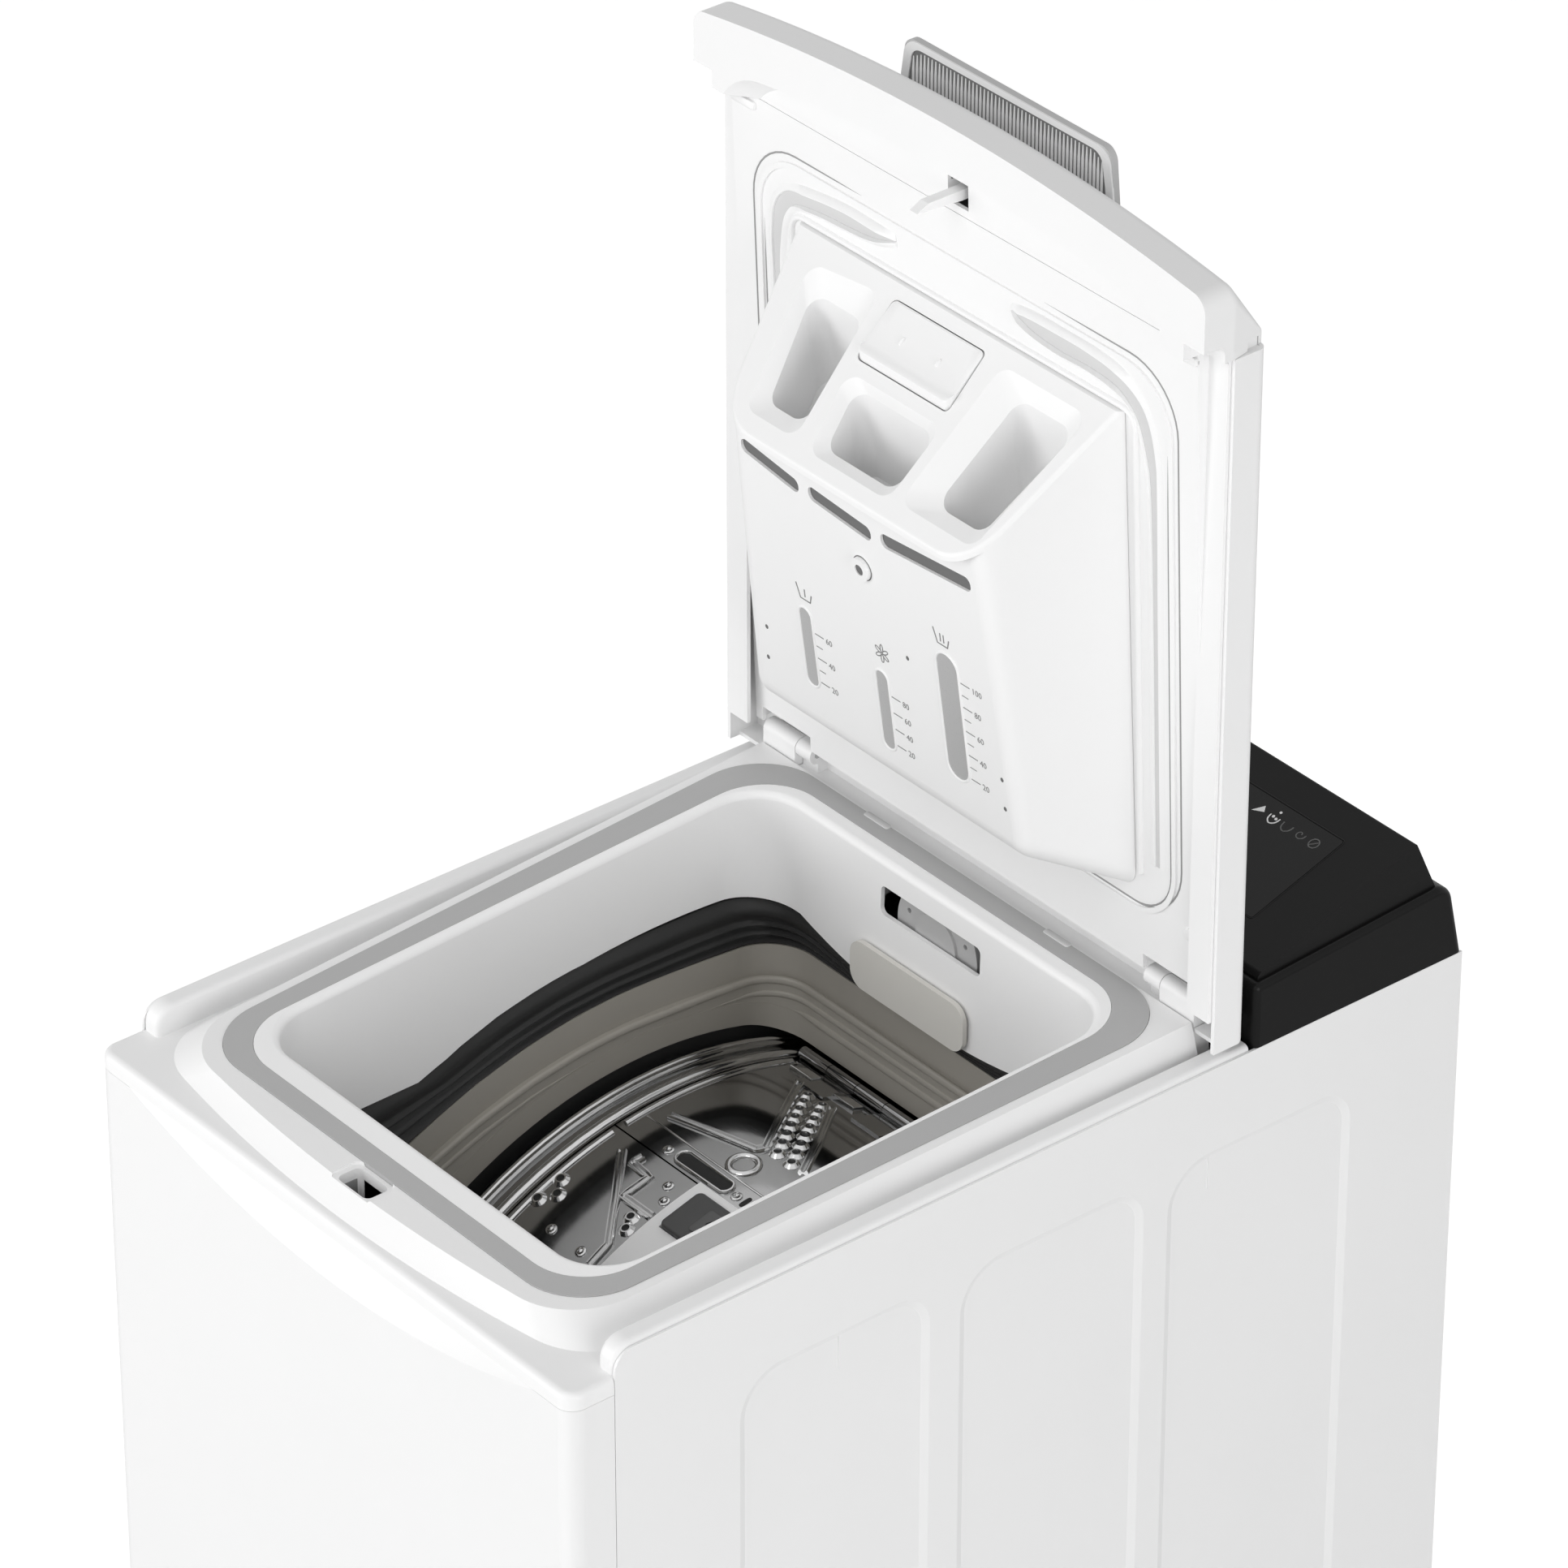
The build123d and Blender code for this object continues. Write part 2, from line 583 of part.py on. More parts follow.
def kick_panel():
    """Low front sheet with the service opening."""
    sheet = panel_channel(FOOT_HEIGHT + FIT, KICK_TOP)
    half = FLAP_WIDTH / 2 + RUN
    z0 = PUMP_Z - FLAP_HEIGHT / 2 - FLAP_PIN * 1.5
    z1 = PUMP_Z + FLAP_HEIGHT / 2 + RUN
    sheet -= block(pump_x - half, pump_x + half, front_y - 1, front_y + SHEET + 1, z0, z1)
    y, z = flap_hinge()
    reach = FLAP_PIN * 2
    for side in (-1, 1):
        x0 = pump_x + side * (half + RUN)
        sheet += block(x0, x0 + side * FLAP_PIN * 3, front_y + SHEET, y + reach, z - reach, z + reach)
    bore = half + RUN + FLAP_PIN * 3 + 1
    return sheet - rod_x(FLAP_PIN + SHAFT_FIT, pump_x - bore, pump_x + bore, y, z)


def flap_hinge():
    """Y and Z of the service flap's hinge."""
    return front_y + SHEET + FLAP_PIN * 2, PUMP_Z - FLAP_HEIGHT / 2 + FLAP_PIN * 2 - RUN


def service_flap():
    """Flap over the pump filter, hinged along its lower edge."""
    half = FLAP_WIDTH / 2
    z0 = PUMP_Z - FLAP_HEIGHT / 2
    plate = block(pump_x - half, pump_x + half, front_y, front_y + SHEET, z0, z0 + FLAP_HEIGHT)
    y, z = flap_hinge()
    barrel = rod_x(FLAP_PIN * 1.8, pump_x - half, pump_x + half, y, z)
    web = block(pump_x - half, pump_x + half, front_y + SHEET, y, z - FLAP_PIN, z + FLAP_PIN)
    pin_half = half + RUN * 2 + FLAP_PIN * 3
    pin = rod_x(FLAP_PIN, pump_x - pin_half, pump_x + pin_half, y, z)
    rim = block(pump_x - half, pump_x + half, front_y + SHEET, front_y + SHEET * 3,
                z0 + FLAP_HEIGHT - SHEET * 2, z0 + FLAP_HEIGHT - SHEET)
    return plate + barrel + web + pin + rim


def bay_outline(index, x, grow):
    """The outline of one pressed bay, that far across the sheet."""
    y0 = side_y + BAY_STARTS[index] - grow
    y1 = side_y + BAY_STARTS[index] + BAY_WIDTHS[index] + grow
    z1 = SIDE_HEIGHT - BAY_TOP_DROP + grow
    z0 = BAY_BOTTOM - grow
    face = make_face(Polyline((y0, z0), (y1, z0), (y1, z1), (y0, z1), close=True))
    front = face.vertices().sort_by_distance(Vector(y0, z1, 0))[0]
    face = fillet(front, BAY_FRONT_CORNER + grow)
    rear = face.vertices().sort_by_distance(Vector(y1, z1, 0))[0]
    face = fillet(rear, BAY_REAR_CORNER + grow)
    for y in (y0, y1):
        face = fillet(face.vertices().sort_by_distance(Vector(y, z0, 0))[0], BAY_REAR_CORNER + grow)
    return Plane.YZ.offset(x) * face


def bay(index, x0, x1, grow):
    """One pressed bay drawn through the sheet, with sloping edges."""
    slope = BAY_SLOPE * (x1 - x0) / BAY_DEPTH
    return loft([bay_outline(index, x0, grow), bay_outline(index, x1, grow + slope)])


def right_side_panel():
    """Side sheet with three pressed bays, folded flanges and the spring brackets."""
    points = ((side_y, FOOT_HEIGHT), (rear_y, FOOT_HEIGHT), (rear_y, SIDE_HEIGHT), (side_y, SIDE_HEIGHT))
    sheet = profile_x(points, inner_x, half_w, {3: SIDE_NOSE})
    for index in range(len(BAY_STARTS)):
        sheet += bay(index, inner_x - BAY_DEPTH, inner_x, SHEET)
    for index in range(len(BAY_STARTS)):
        sheet -= bay(index, half_w - BAY_DEPTH, half_w + 1, 0)
    fold = inner_x - FLANGE
    sheet += block(fold, inner_x, side_y, side_y + SHEET, base_top + RUN, ledge_z - RUN)
    sheet += block(fold, inner_x, back_y - SHEET * 2, back_y - SHEET, base_top + RUN, SIDE_HEIGHT - SIDE_NOSE)
    top = SIDE_HEIGHT - SPRING_TOP_DROP
    for y in spring_places:
        inner = spring_x - SPRING_RADIUS
        face = inner_x - BAY_DEPTH
        arm = block(inner, face, y - SPRING_RADIUS * 2, y + SPRING_RADIUS * 2, top, top + SHEET * 3)
        foot_plate = block(face - SHEET, inner_x, y - SPRING_RADIUS * 2, y + SPRING_RADIUS * 2, top,
                           top + FLANGE * 2)
        sheet += arm + foot_plate
    return sheet


def left_side_panel():
    """The right panel's mirror image."""
    return mirror(right_side_panel(), Plane.YZ)


def recess_places():
    """Centres of the two connection recesses in the rear panel."""
    return ((valve_x, SIDE_HEIGHT - VALVE_DROP), (drain_x, PUMP_Z))


def recess_half(x):
    """Half width of a recess, kept inside the side flanges."""
    return min(RECESS_HALF, inner_x - FLANGE - SHEET - FIT - abs(x))


def rear_panel():
    """Rear sheet with recesses for the inlet nozzle and the drain spigot, and rows of ribs."""
    half = inner_x - FIT
    sheet = block(-half, half, back_y - SHEET, back_y, base_top - BASE_HEIGHT / 2, SIDE_HEIGHT - FIT)
    for x, z in recess_places():
        wide = recess_half(x)
        inner = block(x - wide, x + wide, back_y - RECESS_DEPTH, back_y + 1, z - RECESS_HALF, z + RECESS_HALF)
        cup = block(x - wide - SHEET, x + wide + SHEET, back_y - RECESS_DEPTH - SHEET, back_y - SHEET,
                    z - RECESS_HALF - SHEET, z + RECESS_HALF + SHEET)
        sheet = sheet + cup - inner
    sheet -= rod_y(NOZZLE_RADIUS - SHEET + FIT, valve_x, 0, rear_y, SIDE_HEIGHT - VALVE_DROP)
    return sheet - rod_y(DRAIN_RADIUS - SHEET + FIT, drain_x, 0, rear_y, PUMP_Z)


def rim_outline(front_half, rear_half, front, bow):
    """Rim outline with a bowed front."""
    arc = ThreePointArc((-front_half, front), (0, front - bow), (front_half, front))
    rest = Polyline((front_half, front), (rear_half, rim_rear), (-rear_half, rim_rear), (-front_half, front))
    face = make_face(arc + rest)
    return fillet(face.vertices().group_by(Axis.Y)[0], RIM_CORNER)


def rim_body(grow):
    """Raised rim of the top frame, grown for the lid that comes down over it."""
    foot_half = inner_x - FIT - RAIL_WIDTH - RUN + grow
    low = Plane.XY.offset(lip_z - 1) * rim_outline(foot_half, foot_half, side_y - RIM_FOOT / 3 - grow,
                                                   RIM_FOOT_BOW)
    high = rim_plane(grow) * rim_outline(trim_front_half + RIM_MARGIN + grow,
                                         trim_rear_half + RIM_MARGIN + grow,
                                         trim_front - RIM_MARGIN - grow, RIM_BOW)
    return loft([low, high])


def top_frame():
    """Ledge, rails, raised rim, hinge barrels and the hook slot."""
    wide = inner_x - FIT
    seam = side_y - FIT * 2
    points = ((-half_w, front_y), (half_w, front_y), (half_w, seam), (wide, seam), (wide, top_rear),
              (-wide, top_rear), (-wide, seam), (-half_w, seam))
    outline = make_face(Polyline(*points, close=True))
    outline = fillet(outline.vertices().group_by(Axis.Y)[0], PANEL_CORNER)
    body = extrude(Plane.XY.offset(ledge_z) * outline, LEDGE)
    body = fillet(body.faces().sort_by(Axis.Z)[-1].edges().group_by(Axis.Y)[0], LIP_ROUND)
    body += rim_body(0)
    for side in (-1, 1):
        rail = block(side * (wide - RAIL_WIDTH), side * wide, side_y, top_rear, ledge_z, rail_z)
        nose = rail.edges().filter_by(Axis.X).group_by(Axis.Z)[-1].sort_by(Axis.Y)[0]
        rail = fillet(nose, SIDE_NOSE)
        tops = rail.faces().sort_by(Axis.Z)[-1].edges().filter_by(Axis.Y)
        body += fillet(tops, RAIL_RISE)
        body += hinge_arm(side)
    body -= extrude(rim_plane(TRIM_PROUD - TRIM_THICK) * trim_outline(FIT), LEDGE * 3)
    body -= extrude(Plane.XY.offset(ledge_z - 1) * mouth(FUNNEL_WALL + FIT), LEDGE * 6)
    body -= hook_slot()
    pocket = WINDOW_HALF + TAB_THICK * 6
    roof = SIDE_HEIGHT + TRIM_THICK * 2
    return body - block(WINDOW_X - pocket, WINDOW_X + pocket, mouth_rear, rim_rear - SHEET, ledge_z - 1, roof)


def hinge_arm(side):
    """Barrel for a lid hinge on an upright arm."""
    x0 = side * barrel_inner
    x1 = side * barrel_outer
    barrel = rod_x(HINGE_BARREL, x0, x1, hinge_y, hinge_z)
    arm = block(x0, x1, hinge_y - HINGE_BARREL, hinge_y + HINGE_BARREL, lip_z - 1, hinge_z)
    bore = rod_x(HINGE_PIN + SHAFT_FIT, min(x0, x1) - 1, max(x0, x1) + 1, hinge_y, hinge_z)
    return barrel + arm - bore


def hook_y():
    """Where the closed lid's hook comes down."""
    return hinge_y - hook_place


def hook_slot():
    """Slot for the lid hook with a shallow rounded well round it."""
    y = hook_y()
    hole = RectangleRounded(SLOT_WIDTH, SLOT_LENGTH, SLOT_LENGTH / 4)
    well = RectangleRounded(SLOT_WIDTH + LEDGE * 0.7, SLOT_LENGTH + LEDGE * 0.5, SLOT_LENGTH / 3)
    place = Plane(origin=(0, y, rim_height(y) - SHEET))
    return extrude(Plane(origin=(0, y, ledge_z - 1)) * hole, LEDGE * 4) + extrude(place * well, LEDGE * 2)


def rim_trim():
    """Grey band round the mouth, set into the rim."""
    band = trim_outline() - trim_inner()
    return extrude(rim_plane(TRIM_PROUD - TRIM_THICK) * band, TRIM_THICK)


def funnel_outside():
    """The funnel's drafted outside."""
    top = rim_plane(TRIM_PROUD - TRIM_THICK / 2) * mouth(FUNNEL_WALL)
    low = Plane.XY.offset(SIDE_HEIGHT - FUNNEL_DROP) * mouth(FUNNEL_WALL - FUNNEL_DRAFT)
    return loft([top, low])


def funnel_inside():
    """The funnel's drafted inside, from the top of the bead down."""
    rim = quad(mouth_front_half, mouth_rear_half, mouth_front + BEAD_OVERHANG, mouth_rear, MOUTH_CORNER)
    low = Plane.XY.offset(SIDE_HEIGHT - FUNNEL_DROP) * mouth(-FUNNEL_DRAFT)
    return loft([rim_plane(TRIM_PROUD + 1) * rim, low])


def below_funnel(gap):
    """Everything below the funnel's saddle edge."""
    floor = axis_z
    low = SIDE_HEIGHT - gap
    start, middle, end = [(axis_y + share * tub_outer, low - drop) for share, drop in FUNNEL_ARCH]
    arch = ThreePointArc(start, middle, end)
    rest = Polyline(end, (end[0], floor), (front_y, floor), (front_y, start[1]), start)
    sides = extrude(Plane.YZ.offset(-half_w) * make_face(arch + rest), CABINET_WIDTH)
    half = dip_half
    dip = ThreePointArc((-half, low - FUNNEL_DIP_END), (0, low - FUNNEL_DIP), (half, low - FUNNEL_DIP_END))
    under = Polyline((half, low - FUNNEL_DIP_END), (half, floor), (-half, floor), (-half,
                                                                                   low - FUNNEL_DIP_END))
    back_plane = Plane(origin=(0, rear_y, 0), x_dir=(1, 0, 0), z_dir=(0, -1, 0))
    rear = extrude(back_plane * make_face(dip + under), rear_y - mouth_rear * 0.7)
    middle_zone = block(-half, half, mouth_rear * 0.7, rear_y, floor, SIDE_HEIGHT)
    return (sides - middle_zone) + rear


def below_collar(drop):
    """Everything below the collar's arched top, or a line that far below it."""
    points = [(axis_y + share * tub_outer, SIDE_HEIGHT - fall - drop) for share, fall in COLLAR_ARCH]
    top = Spline(*points)
    first = points[0]
    last = points[-1]
    rest = Polyline(last, (last[0], axis_z), (first[0], axis_z), first)
    return extrude(Plane.YZ.offset(-half_w) * make_face(top + rest), CABINET_WIDTH)


def loading_funnel():
    """White drafted chute below the mouth, with a saddle edge and the water window in its rear wall."""
    bead = extrude(rim_plane(TRIM_PROUD - TRIM_THICK) * trim_inner(-FIT), TRIM_THICK)
    shell = funnel_outside() + bead - funnel_inside()
    crown = [face for face in shell.faces() if face.normal_at().Z > 0.9][0]
    shell = fillet(crown.inner_wires()[0].edges(), BEAD_ROUND) - below_funnel(0)
    top = SIDE_HEIGHT - WINDOW_DROP
    window = RectangleRounded(WINDOW_HALF * 2, WINDOW_HEIGHT, WINDOW_HEIGHT / 5)
    place = Plane(origin=(WINDOW_X, mouth_rear - LEDGE, top - WINDOW_HEIGHT / 2), x_dir=(-1, 0, 0), z_dir=(0,
                                                                                                           1, 0))
    return shell - extrude(place * window, LEDGE * 2)


def funnel_tab():
    """Moulded tab on the funnel's rear wall, over the bellows."""
    top = SIDE_HEIGHT - FUNNEL_DIP + TAB_HEIGHT
    inner = mouth_rear - FUNNEL_DRAFT - FIT * 2
    plate = RectangleRounded(TAB_WIDTH, TAB_HEIGHT, TAB_HEIGHT / 3)
    place = Plane(origin=(TAB_X, inner - TAB_THICK, top - TAB_HEIGHT / 2), x_dir=(-1, 0, 0), z_dir=(0, 1, 0))
    return extrude(place * plate, TAB_THICK)


def water_distributor():
    """Round spray head behind the funnel window, with an inlet neck below."""
    z = SIDE_HEIGHT - WINDOW_DROP - WINDOW_HEIGHT / 2
    y0 = mouth_rear + FUNNEL_WALL + FIT
    y1 = rim_rear - SHEET - FIT
    radius = WINDOW_HALF * 0.8
    head = rod_y(radius, WINDOW_X, y0 + SHEET, y1, z - WINDOW_HEIGHT / 2)
    head += rod_y(radius * 0.5, WINDOW_X, y0, y1, z - WINDOW_HEIGHT / 2)
    head &= block(-half_w, half_w, y0, y1, ledge_z - LEDGE * 4, SIDE_HEIGHT + TRIM_THICK)
    for angle in range(20, 161, 20):
        x = WINDOW_X + radius * 0.75 * cos(radians(angle))
        head -= rod_y(SHEET, x, y0 - 1, y0 + LEDGE / 2,
                      z - WINDOW_HEIGHT / 2 + radius * 0.75 * sin(radians(angle)))
    low = SIDE_HEIGHT - VALVE_DROP
    neck = rod_y(HOSE_RADIUS, WINDOW_X, y0 + SHEET, top_rear, low)
    riser = rod_z(HOSE_RADIUS, WINDOW_X, y0 + HOSE_RADIUS, low, z - WINDOW_HEIGHT / 2)
    return head + neck + riser


def tube(points, bend, radius, bore):
    """A round tube along straight runs joined by arcs."""
    path = FilletPolyline(*points, radius=bend)
    start = Plane(origin=path @ 0, z_dir=path % 0)
    return sweep(start * (Circle(radius) - Circle(bore)), path=path)


def inlet_hose():
    """Hose from the inlet valve up to the distributor."""
    start = back_y - RECESS_DEPTH - SHEET - FIT - NOZZLE_RADIUS * 3
    z = SIDE_HEIGHT - VALVE_DROP
    middle = (start + top_rear) / 2
    points = ((valve_x, start, z), (valve_x, middle, z), (WINDOW_X, middle, z), (WINDOW_X, top_rear, z))
    return tube(points, HOSE_RADIUS * 2, HOSE_RADIUS, HOSE_RADIUS * 0.7)


def inlet_valve():
    """Solenoid valve with its threaded nozzle in the rear recess."""
    z = SIDE_HEIGHT - VALVE_DROP
    face = back_y - RECESS_DEPTH - SHEET - FIT
    size = NOZZLE_RADIUS * 1.4
    body = block(valve_x - size, valve_x + size, face - NOZZLE_RADIUS * 3, face, z - size, z + size)
    coil = rod_z(NOZZLE_RADIUS, valve_x, face - NOZZLE_RADIUS * 1.5, z - size * 2, z - size)
    shoulder = back_y - RECESS_DEPTH + FIT * 2
    nozzle = rod_y(NOZZLE_RADIUS, valve_x, shoulder, back_y - SHEET, z)
    nozzle += rod_y(NOZZLE_RADIUS - SHEET, valve_x, face, shoulder, z)
    nozzle -= rod_y(NOZZLE_RADIUS * 0.7, valve_x, face + SHEET, rear_y, z)
    return body + coil + nozzle


def drain_pump():
    """Pump with its filter barrel at the front and an outlet elbow to the drain pipe."""
    y0 = front_y + PUMP_FRONT_GAP
    y1 = y0 + PUMP_LENGTH
    body = rod_y(PUMP_RADIUS, pump_x, y0, y1, PUMP_Z)
    body -= rod_y(FILTER_RADIUS + RUN, pump_x, y0 - 1, y0 + FILTER_DEPTH + RUN, PUMP_Z)
    legs = block(pump_x - PUMP_RADIUS, pump_x + PUMP_RADIUS, y1 - LEDGE * 3, y1 - LEDGE, floor_z + FIT,
                 PUMP_Z)
    body += legs - rod_y(PUMP_RADIUS - SHEET, pump_x, y0, y1, PUMP_Z)
    outlet = rod_x(DRAIN_RADIUS - SHEET, pump_x + PUMP_RADIUS - SHEET, drain_x - DRAIN_RADIUS + SHEET / 2,
                   y1 - LEDGE * 2, PUMP_Z)
    return body + outlet


def pump_filter():
    """Screw-in filter with a grip bar."""
    y0 = front_y + PUMP_FRONT_GAP
    barrel = rod_y(FILTER_RADIUS, pump_x, y0 - FIT, y0 + FILTER_DEPTH, PUMP_Z)
    head = rod_y(PUMP_RADIUS - SHEET, pump_x, y0 - LEDGE / 2, y0 - FIT, PUMP_Z)
    grip = block(pump_x - SHEET * 2, pump_x + SHEET * 2, y0 - LEDGE, y0 - LEDGE / 2,
                 PUMP_Z - FILTER_RADIUS, PUMP_Z + FILTER_RADIUS)
    return barrel + head + grip


def drain_pipe():
    """Pipe from the pump to the spigot in the rear recess."""
    start = front_y + PUMP_FRONT_GAP + PUMP_LENGTH - LEDGE * 2
    shoulder = back_y - RECESS_DEPTH + FIT * 2
    pipe = rod_y(DRAIN_RADIUS - SHEET, drain_x, start - DRAIN_RADIUS, shoulder, PUMP_Z)
    pipe += rod_y(DRAIN_RADIUS, drain_x, shoulder, back_y - SHEET, PUMP_Z)
    return pipe - rod_y(DRAIN_RADIUS * 0.65, drain_x, start, rear_y, PUMP_Z)


def lid_lock():
    """Lock body below the hook slot."""
    y = hook_y()
    body = block(-SLOT_WIDTH, SLOT_WIDTH, y - SLOT_LENGTH, y + SLOT_LENGTH, ledge_z - LEDGE * 2.5,
                 ledge_z - FIT)
    slot = block(-SLOT_WIDTH / 2, SLOT_WIDTH / 2, y - SLOT_LENGTH / 2, y + SLOT_LENGTH / 2,
                 ledge_z - LEDGE * 1.8, ledge_z)
    return body - slot - scoop_cone(SHEET + FIT)


def hinge_pins():
    """Two pins, one for each lid hinge."""
    pins = [rod_x(HINGE_PIN, side * knuckle_inner, side * barrel_outer, hinge_y, hinge_z) for side in (-1, 1)]
    return Compound(children=pins)


def console_profile(inset):
    """Side view of the console's sloping body."""
    base = SIDE_HEIGHT + CONSOLE_BAND - inset
    front = fascia_front + inset
    low = SIDE_HEIGHT + FASCIA_LOW - inset
    high = SIDE_HEIGHT + FASCIA_HIGH - inset
    return ((front, base - LEDGE), (front, low), (fascia_rear - inset / 2, high),
            (fascia_back - inset, base), (fascia_back - inset, base - LEDGE))


def console_housing():
    """Black housing: a band over the side panels and a sloping body, hollow below."""
    z0 = SIDE_HEIGHT + FIT
    z1 = SIDE_HEIGHT + CONSOLE_BAND
    lean = rear_y - CONSOLE_BAND_LEAN
    z2 = SIDE_HEIGHT + CONSOLE_BAND_REAR
    points = ((console_front, z0), (rear_y, z0), (lean, z2), (console_front, z1))
    band = profile_x(points, -half_w, half_w, {2: CONSOLE_BAND_ROUND, 3: LIP_ROUND})
    for end in (0, -1):
        around = band.faces().sort_by(Axis.X)[end].edges()
        band = fillet([edge for edge in around if edge.center().Z > z0 + 1], LIP_ROUND)
    body = band + profile_x(console_profile(0), -console_half, console_half, {1: LIP_ROUND, 2: SHEET})
    wide = inner_x - FIT - RAIL_WIDTH - FIT
    body += block(-wide, wide, console_front, console_front + CONSOLE_WALL, lip_z, SIDE_HEIGHT + LEDGE)
    hollow = half_w - CONSOLE_WALL
    inside = ((console_front + CONSOLE_WALL, lip_z - 1), (rear_y - CONSOLE_WALL, lip_z - 1),
              (rear_y - CONSOLE_WALL, z0), (lean - CONSOLE_WALL, z2 - CONSOLE_WALL * 2),
              (console_front + CONSOLE_WALL, z1 - CONSOLE_WALL))
    body -= profile_x(inside, -hollow, hollow)
    body -= profile_x(console_profile(CONSOLE_WALL), -console_half + CONSOLE_WALL,
                      console_half - CONSOLE_WALL)
    for x in (-console_half / 2, console_half / 2):
        post = rod_z(LIP_ROUND, x, fascia_rear - LEDGE, board_z() + SHEET,
                     fascia_z(fascia_rear) - CONSOLE_WALL)
        body += post & profile_x(console_profile(SHAFT_FIT), -half_w, half_w) + rod_z(
            LIP_ROUND, x, fascia_rear - LEDGE, board_z() + SHEET, z1 - LEDGE)
    glass = fascia_plane((DISPLAY_LEFT + display_right) / 2, (display_front + display_rear) / 2)
    body -= extrude(glass.offset(-DISPLAY_THICK + FIT) * display_outline(FIT), LEDGE)
    knob = knob_plane()
    body -= knob * Pos(0, 0, -LEDGE / 2) * Cylinder(KNOB_STEM + SHAFT_FIT, LEDGE)
    for place in (start_key_at, option_key_at):
        body -= fascia_plane(*place) * Cylinder(KEY_RADIUS + RUN / 2, LEDGE * 2)
    return body


def board_z():
    """Underside of the control board."""
    return SIDE_HEIGHT + LEDGE


def display_outline(grow=0.0):
    """Outline of the display glass on the sloping face."""
    depth = (display_rear - display_front) * sqrt(1 + fascia_slope ** 2)
    return RectangleRounded(display_right - DISPLAY_LEFT + grow * 2, depth + grow * 2, SHEET + grow)


def display_glass():
    """Glass plate of the display."""
    place = fascia_plane((DISPLAY_LEFT + display_right) / 2, (display_front + display_rear) / 2)
    return extrude(place.offset(-DISPLAY_THICK + FIT) * display_outline(), DISPLAY_THICK)


def knob_plane():
    """Where the program knob sits."""
    return fascia_plane(knob_x, (fascia_front + fascia_rear) / 2)


def program_knob():
    """Fluted knob with a stem into the console."""
    knob = Pos(0, 0, KNOB_HEIGHT / 2 + RUN) * Cylinder(KNOB_RADIUS, KNOB_HEIGHT)
    knob = fillet(knob.edges().group_by(Axis.Z)[-1], SHEET)
    for angle in range(0, 360, 30):
        flute = Rot(0, 0, angle) * Pos(KNOB_RADIUS + SHEET, 0, KNOB_HEIGHT / 2 + LIP_ROUND) * Cylinder(
            SHEET * 2, KNOB_HEIGHT)
        knob -= flute
    stem = Pos(0, 0, (RUN - LEDGE / 2) / 2) * Cylinder(KNOB_STEM, LEDGE / 2 + RUN)
    return knob_plane() * (knob + stem)


def key(place):
    """A round press key with a retaining flange inside the console."""
    cap = Pos(0, 0, (KEY_PROUD - CONSOLE_WALL - KEY_TRAVEL) / 2) * Cylinder(
        KEY_RADIUS, KEY_PROUD + CONSOLE_WALL + KEY_TRAVEL)
    cap = fillet(cap.edges().group_by(Axis.Z)[-1], SHEET / 2)
    flange = Pos(0, 0, -CONSOLE_WALL - RUN - KEY_TRAVEL) * Cylinder(KEY_RADIUS + SHEET, KEY_TRAVEL)
    return fascia_plane(*place) * (cap + flange)


def control_board():
    """Board hung from two posts in the console, with a heat sink and capacitors."""
    half = console_half * 0.7
    y1 = fascia_rear
    y0 = console_front + LEDGE * 3
    z = board_z()
    board = block(-half, half, y0, y1, z, z + SHEET)
    board += block(half - LEDGE * 5, half - LEDGE * 2, y0 + LEDGE, y1 - LEDGE * 4, z + SHEET, z + LEDGE * 1.6)
    for x in (-half + LEDGE * 2, -half + LEDGE * 5):
        board += rod_z(LEDGE * 0.9, x, y0 + LEDGE * 2, z + SHEET, z + LEDGE * 1.8)
    return board


def tub_opening():
    """Opening in the tub under the collar."""
    outline = quad(collar_half, collar_half, collar_front, collar_rear, COLLAR_CORNER)
    return extrude(Plane.XY.offset(axis_z) * outline, SIDE_HEIGHT - axis_z)


def sump(grow):
    """Sump box below the tub, or its inside."""
    top = axis_z - tub_inner * 0.9
    low = axis_z - tub_outer - SUMP_DEPTH
    return block(-sump_half - grow, sump_half + grow, sump_front - grow, sump_rear + grow, low - grow, top)


def tub_whole():
    """Tub with sump, opening, spring lugs and shaft holes, before it is split."""
    body = drum_cylinder(tub_outer, tub_end) + sump(0)
    top = SIDE_HEIGHT - SPRING_TOP_DROP - SPRING_LENGTH
    for side in (-1, 1):
        for y in spring_places:
            body += block(side * (tub_end - TUB_WALL), side * (spring_x + SPRING_RADIUS),
                          y - SPRING_RADIUS, y + SPRING_RADIUS, top - LEDGE, top)
    body -= drum_cylinder(tub_inner, tub_end_inner)
    body -= sump(-TUB_WALL * 0.8)
    body -= drum_cylinder(SHAFT_RADIUS + TUB_WALL, tub_end + 1)
    low = axis_z - tub_outer - SUMP_DEPTH
    body -= rod_z(SUMP_HOSE_BORE, pump_x, sump_hose_y, low - 1, low + TUB_WALL)
    for y in heater_rows():
        body -= rod_x(HEATER_TUBE + FIT, sump_half - TUB_WALL * 2, sump_half + 1, y, heater_z())
    return body - tub_opening()


def tub_half(side):
    """One half of the tub."""
    reach = half_w
    keep = block(FIT / 2 * side, reach * side, front_y, rear_y, 0, SIDE_HEIGHT)
    return tub_whole() & keep


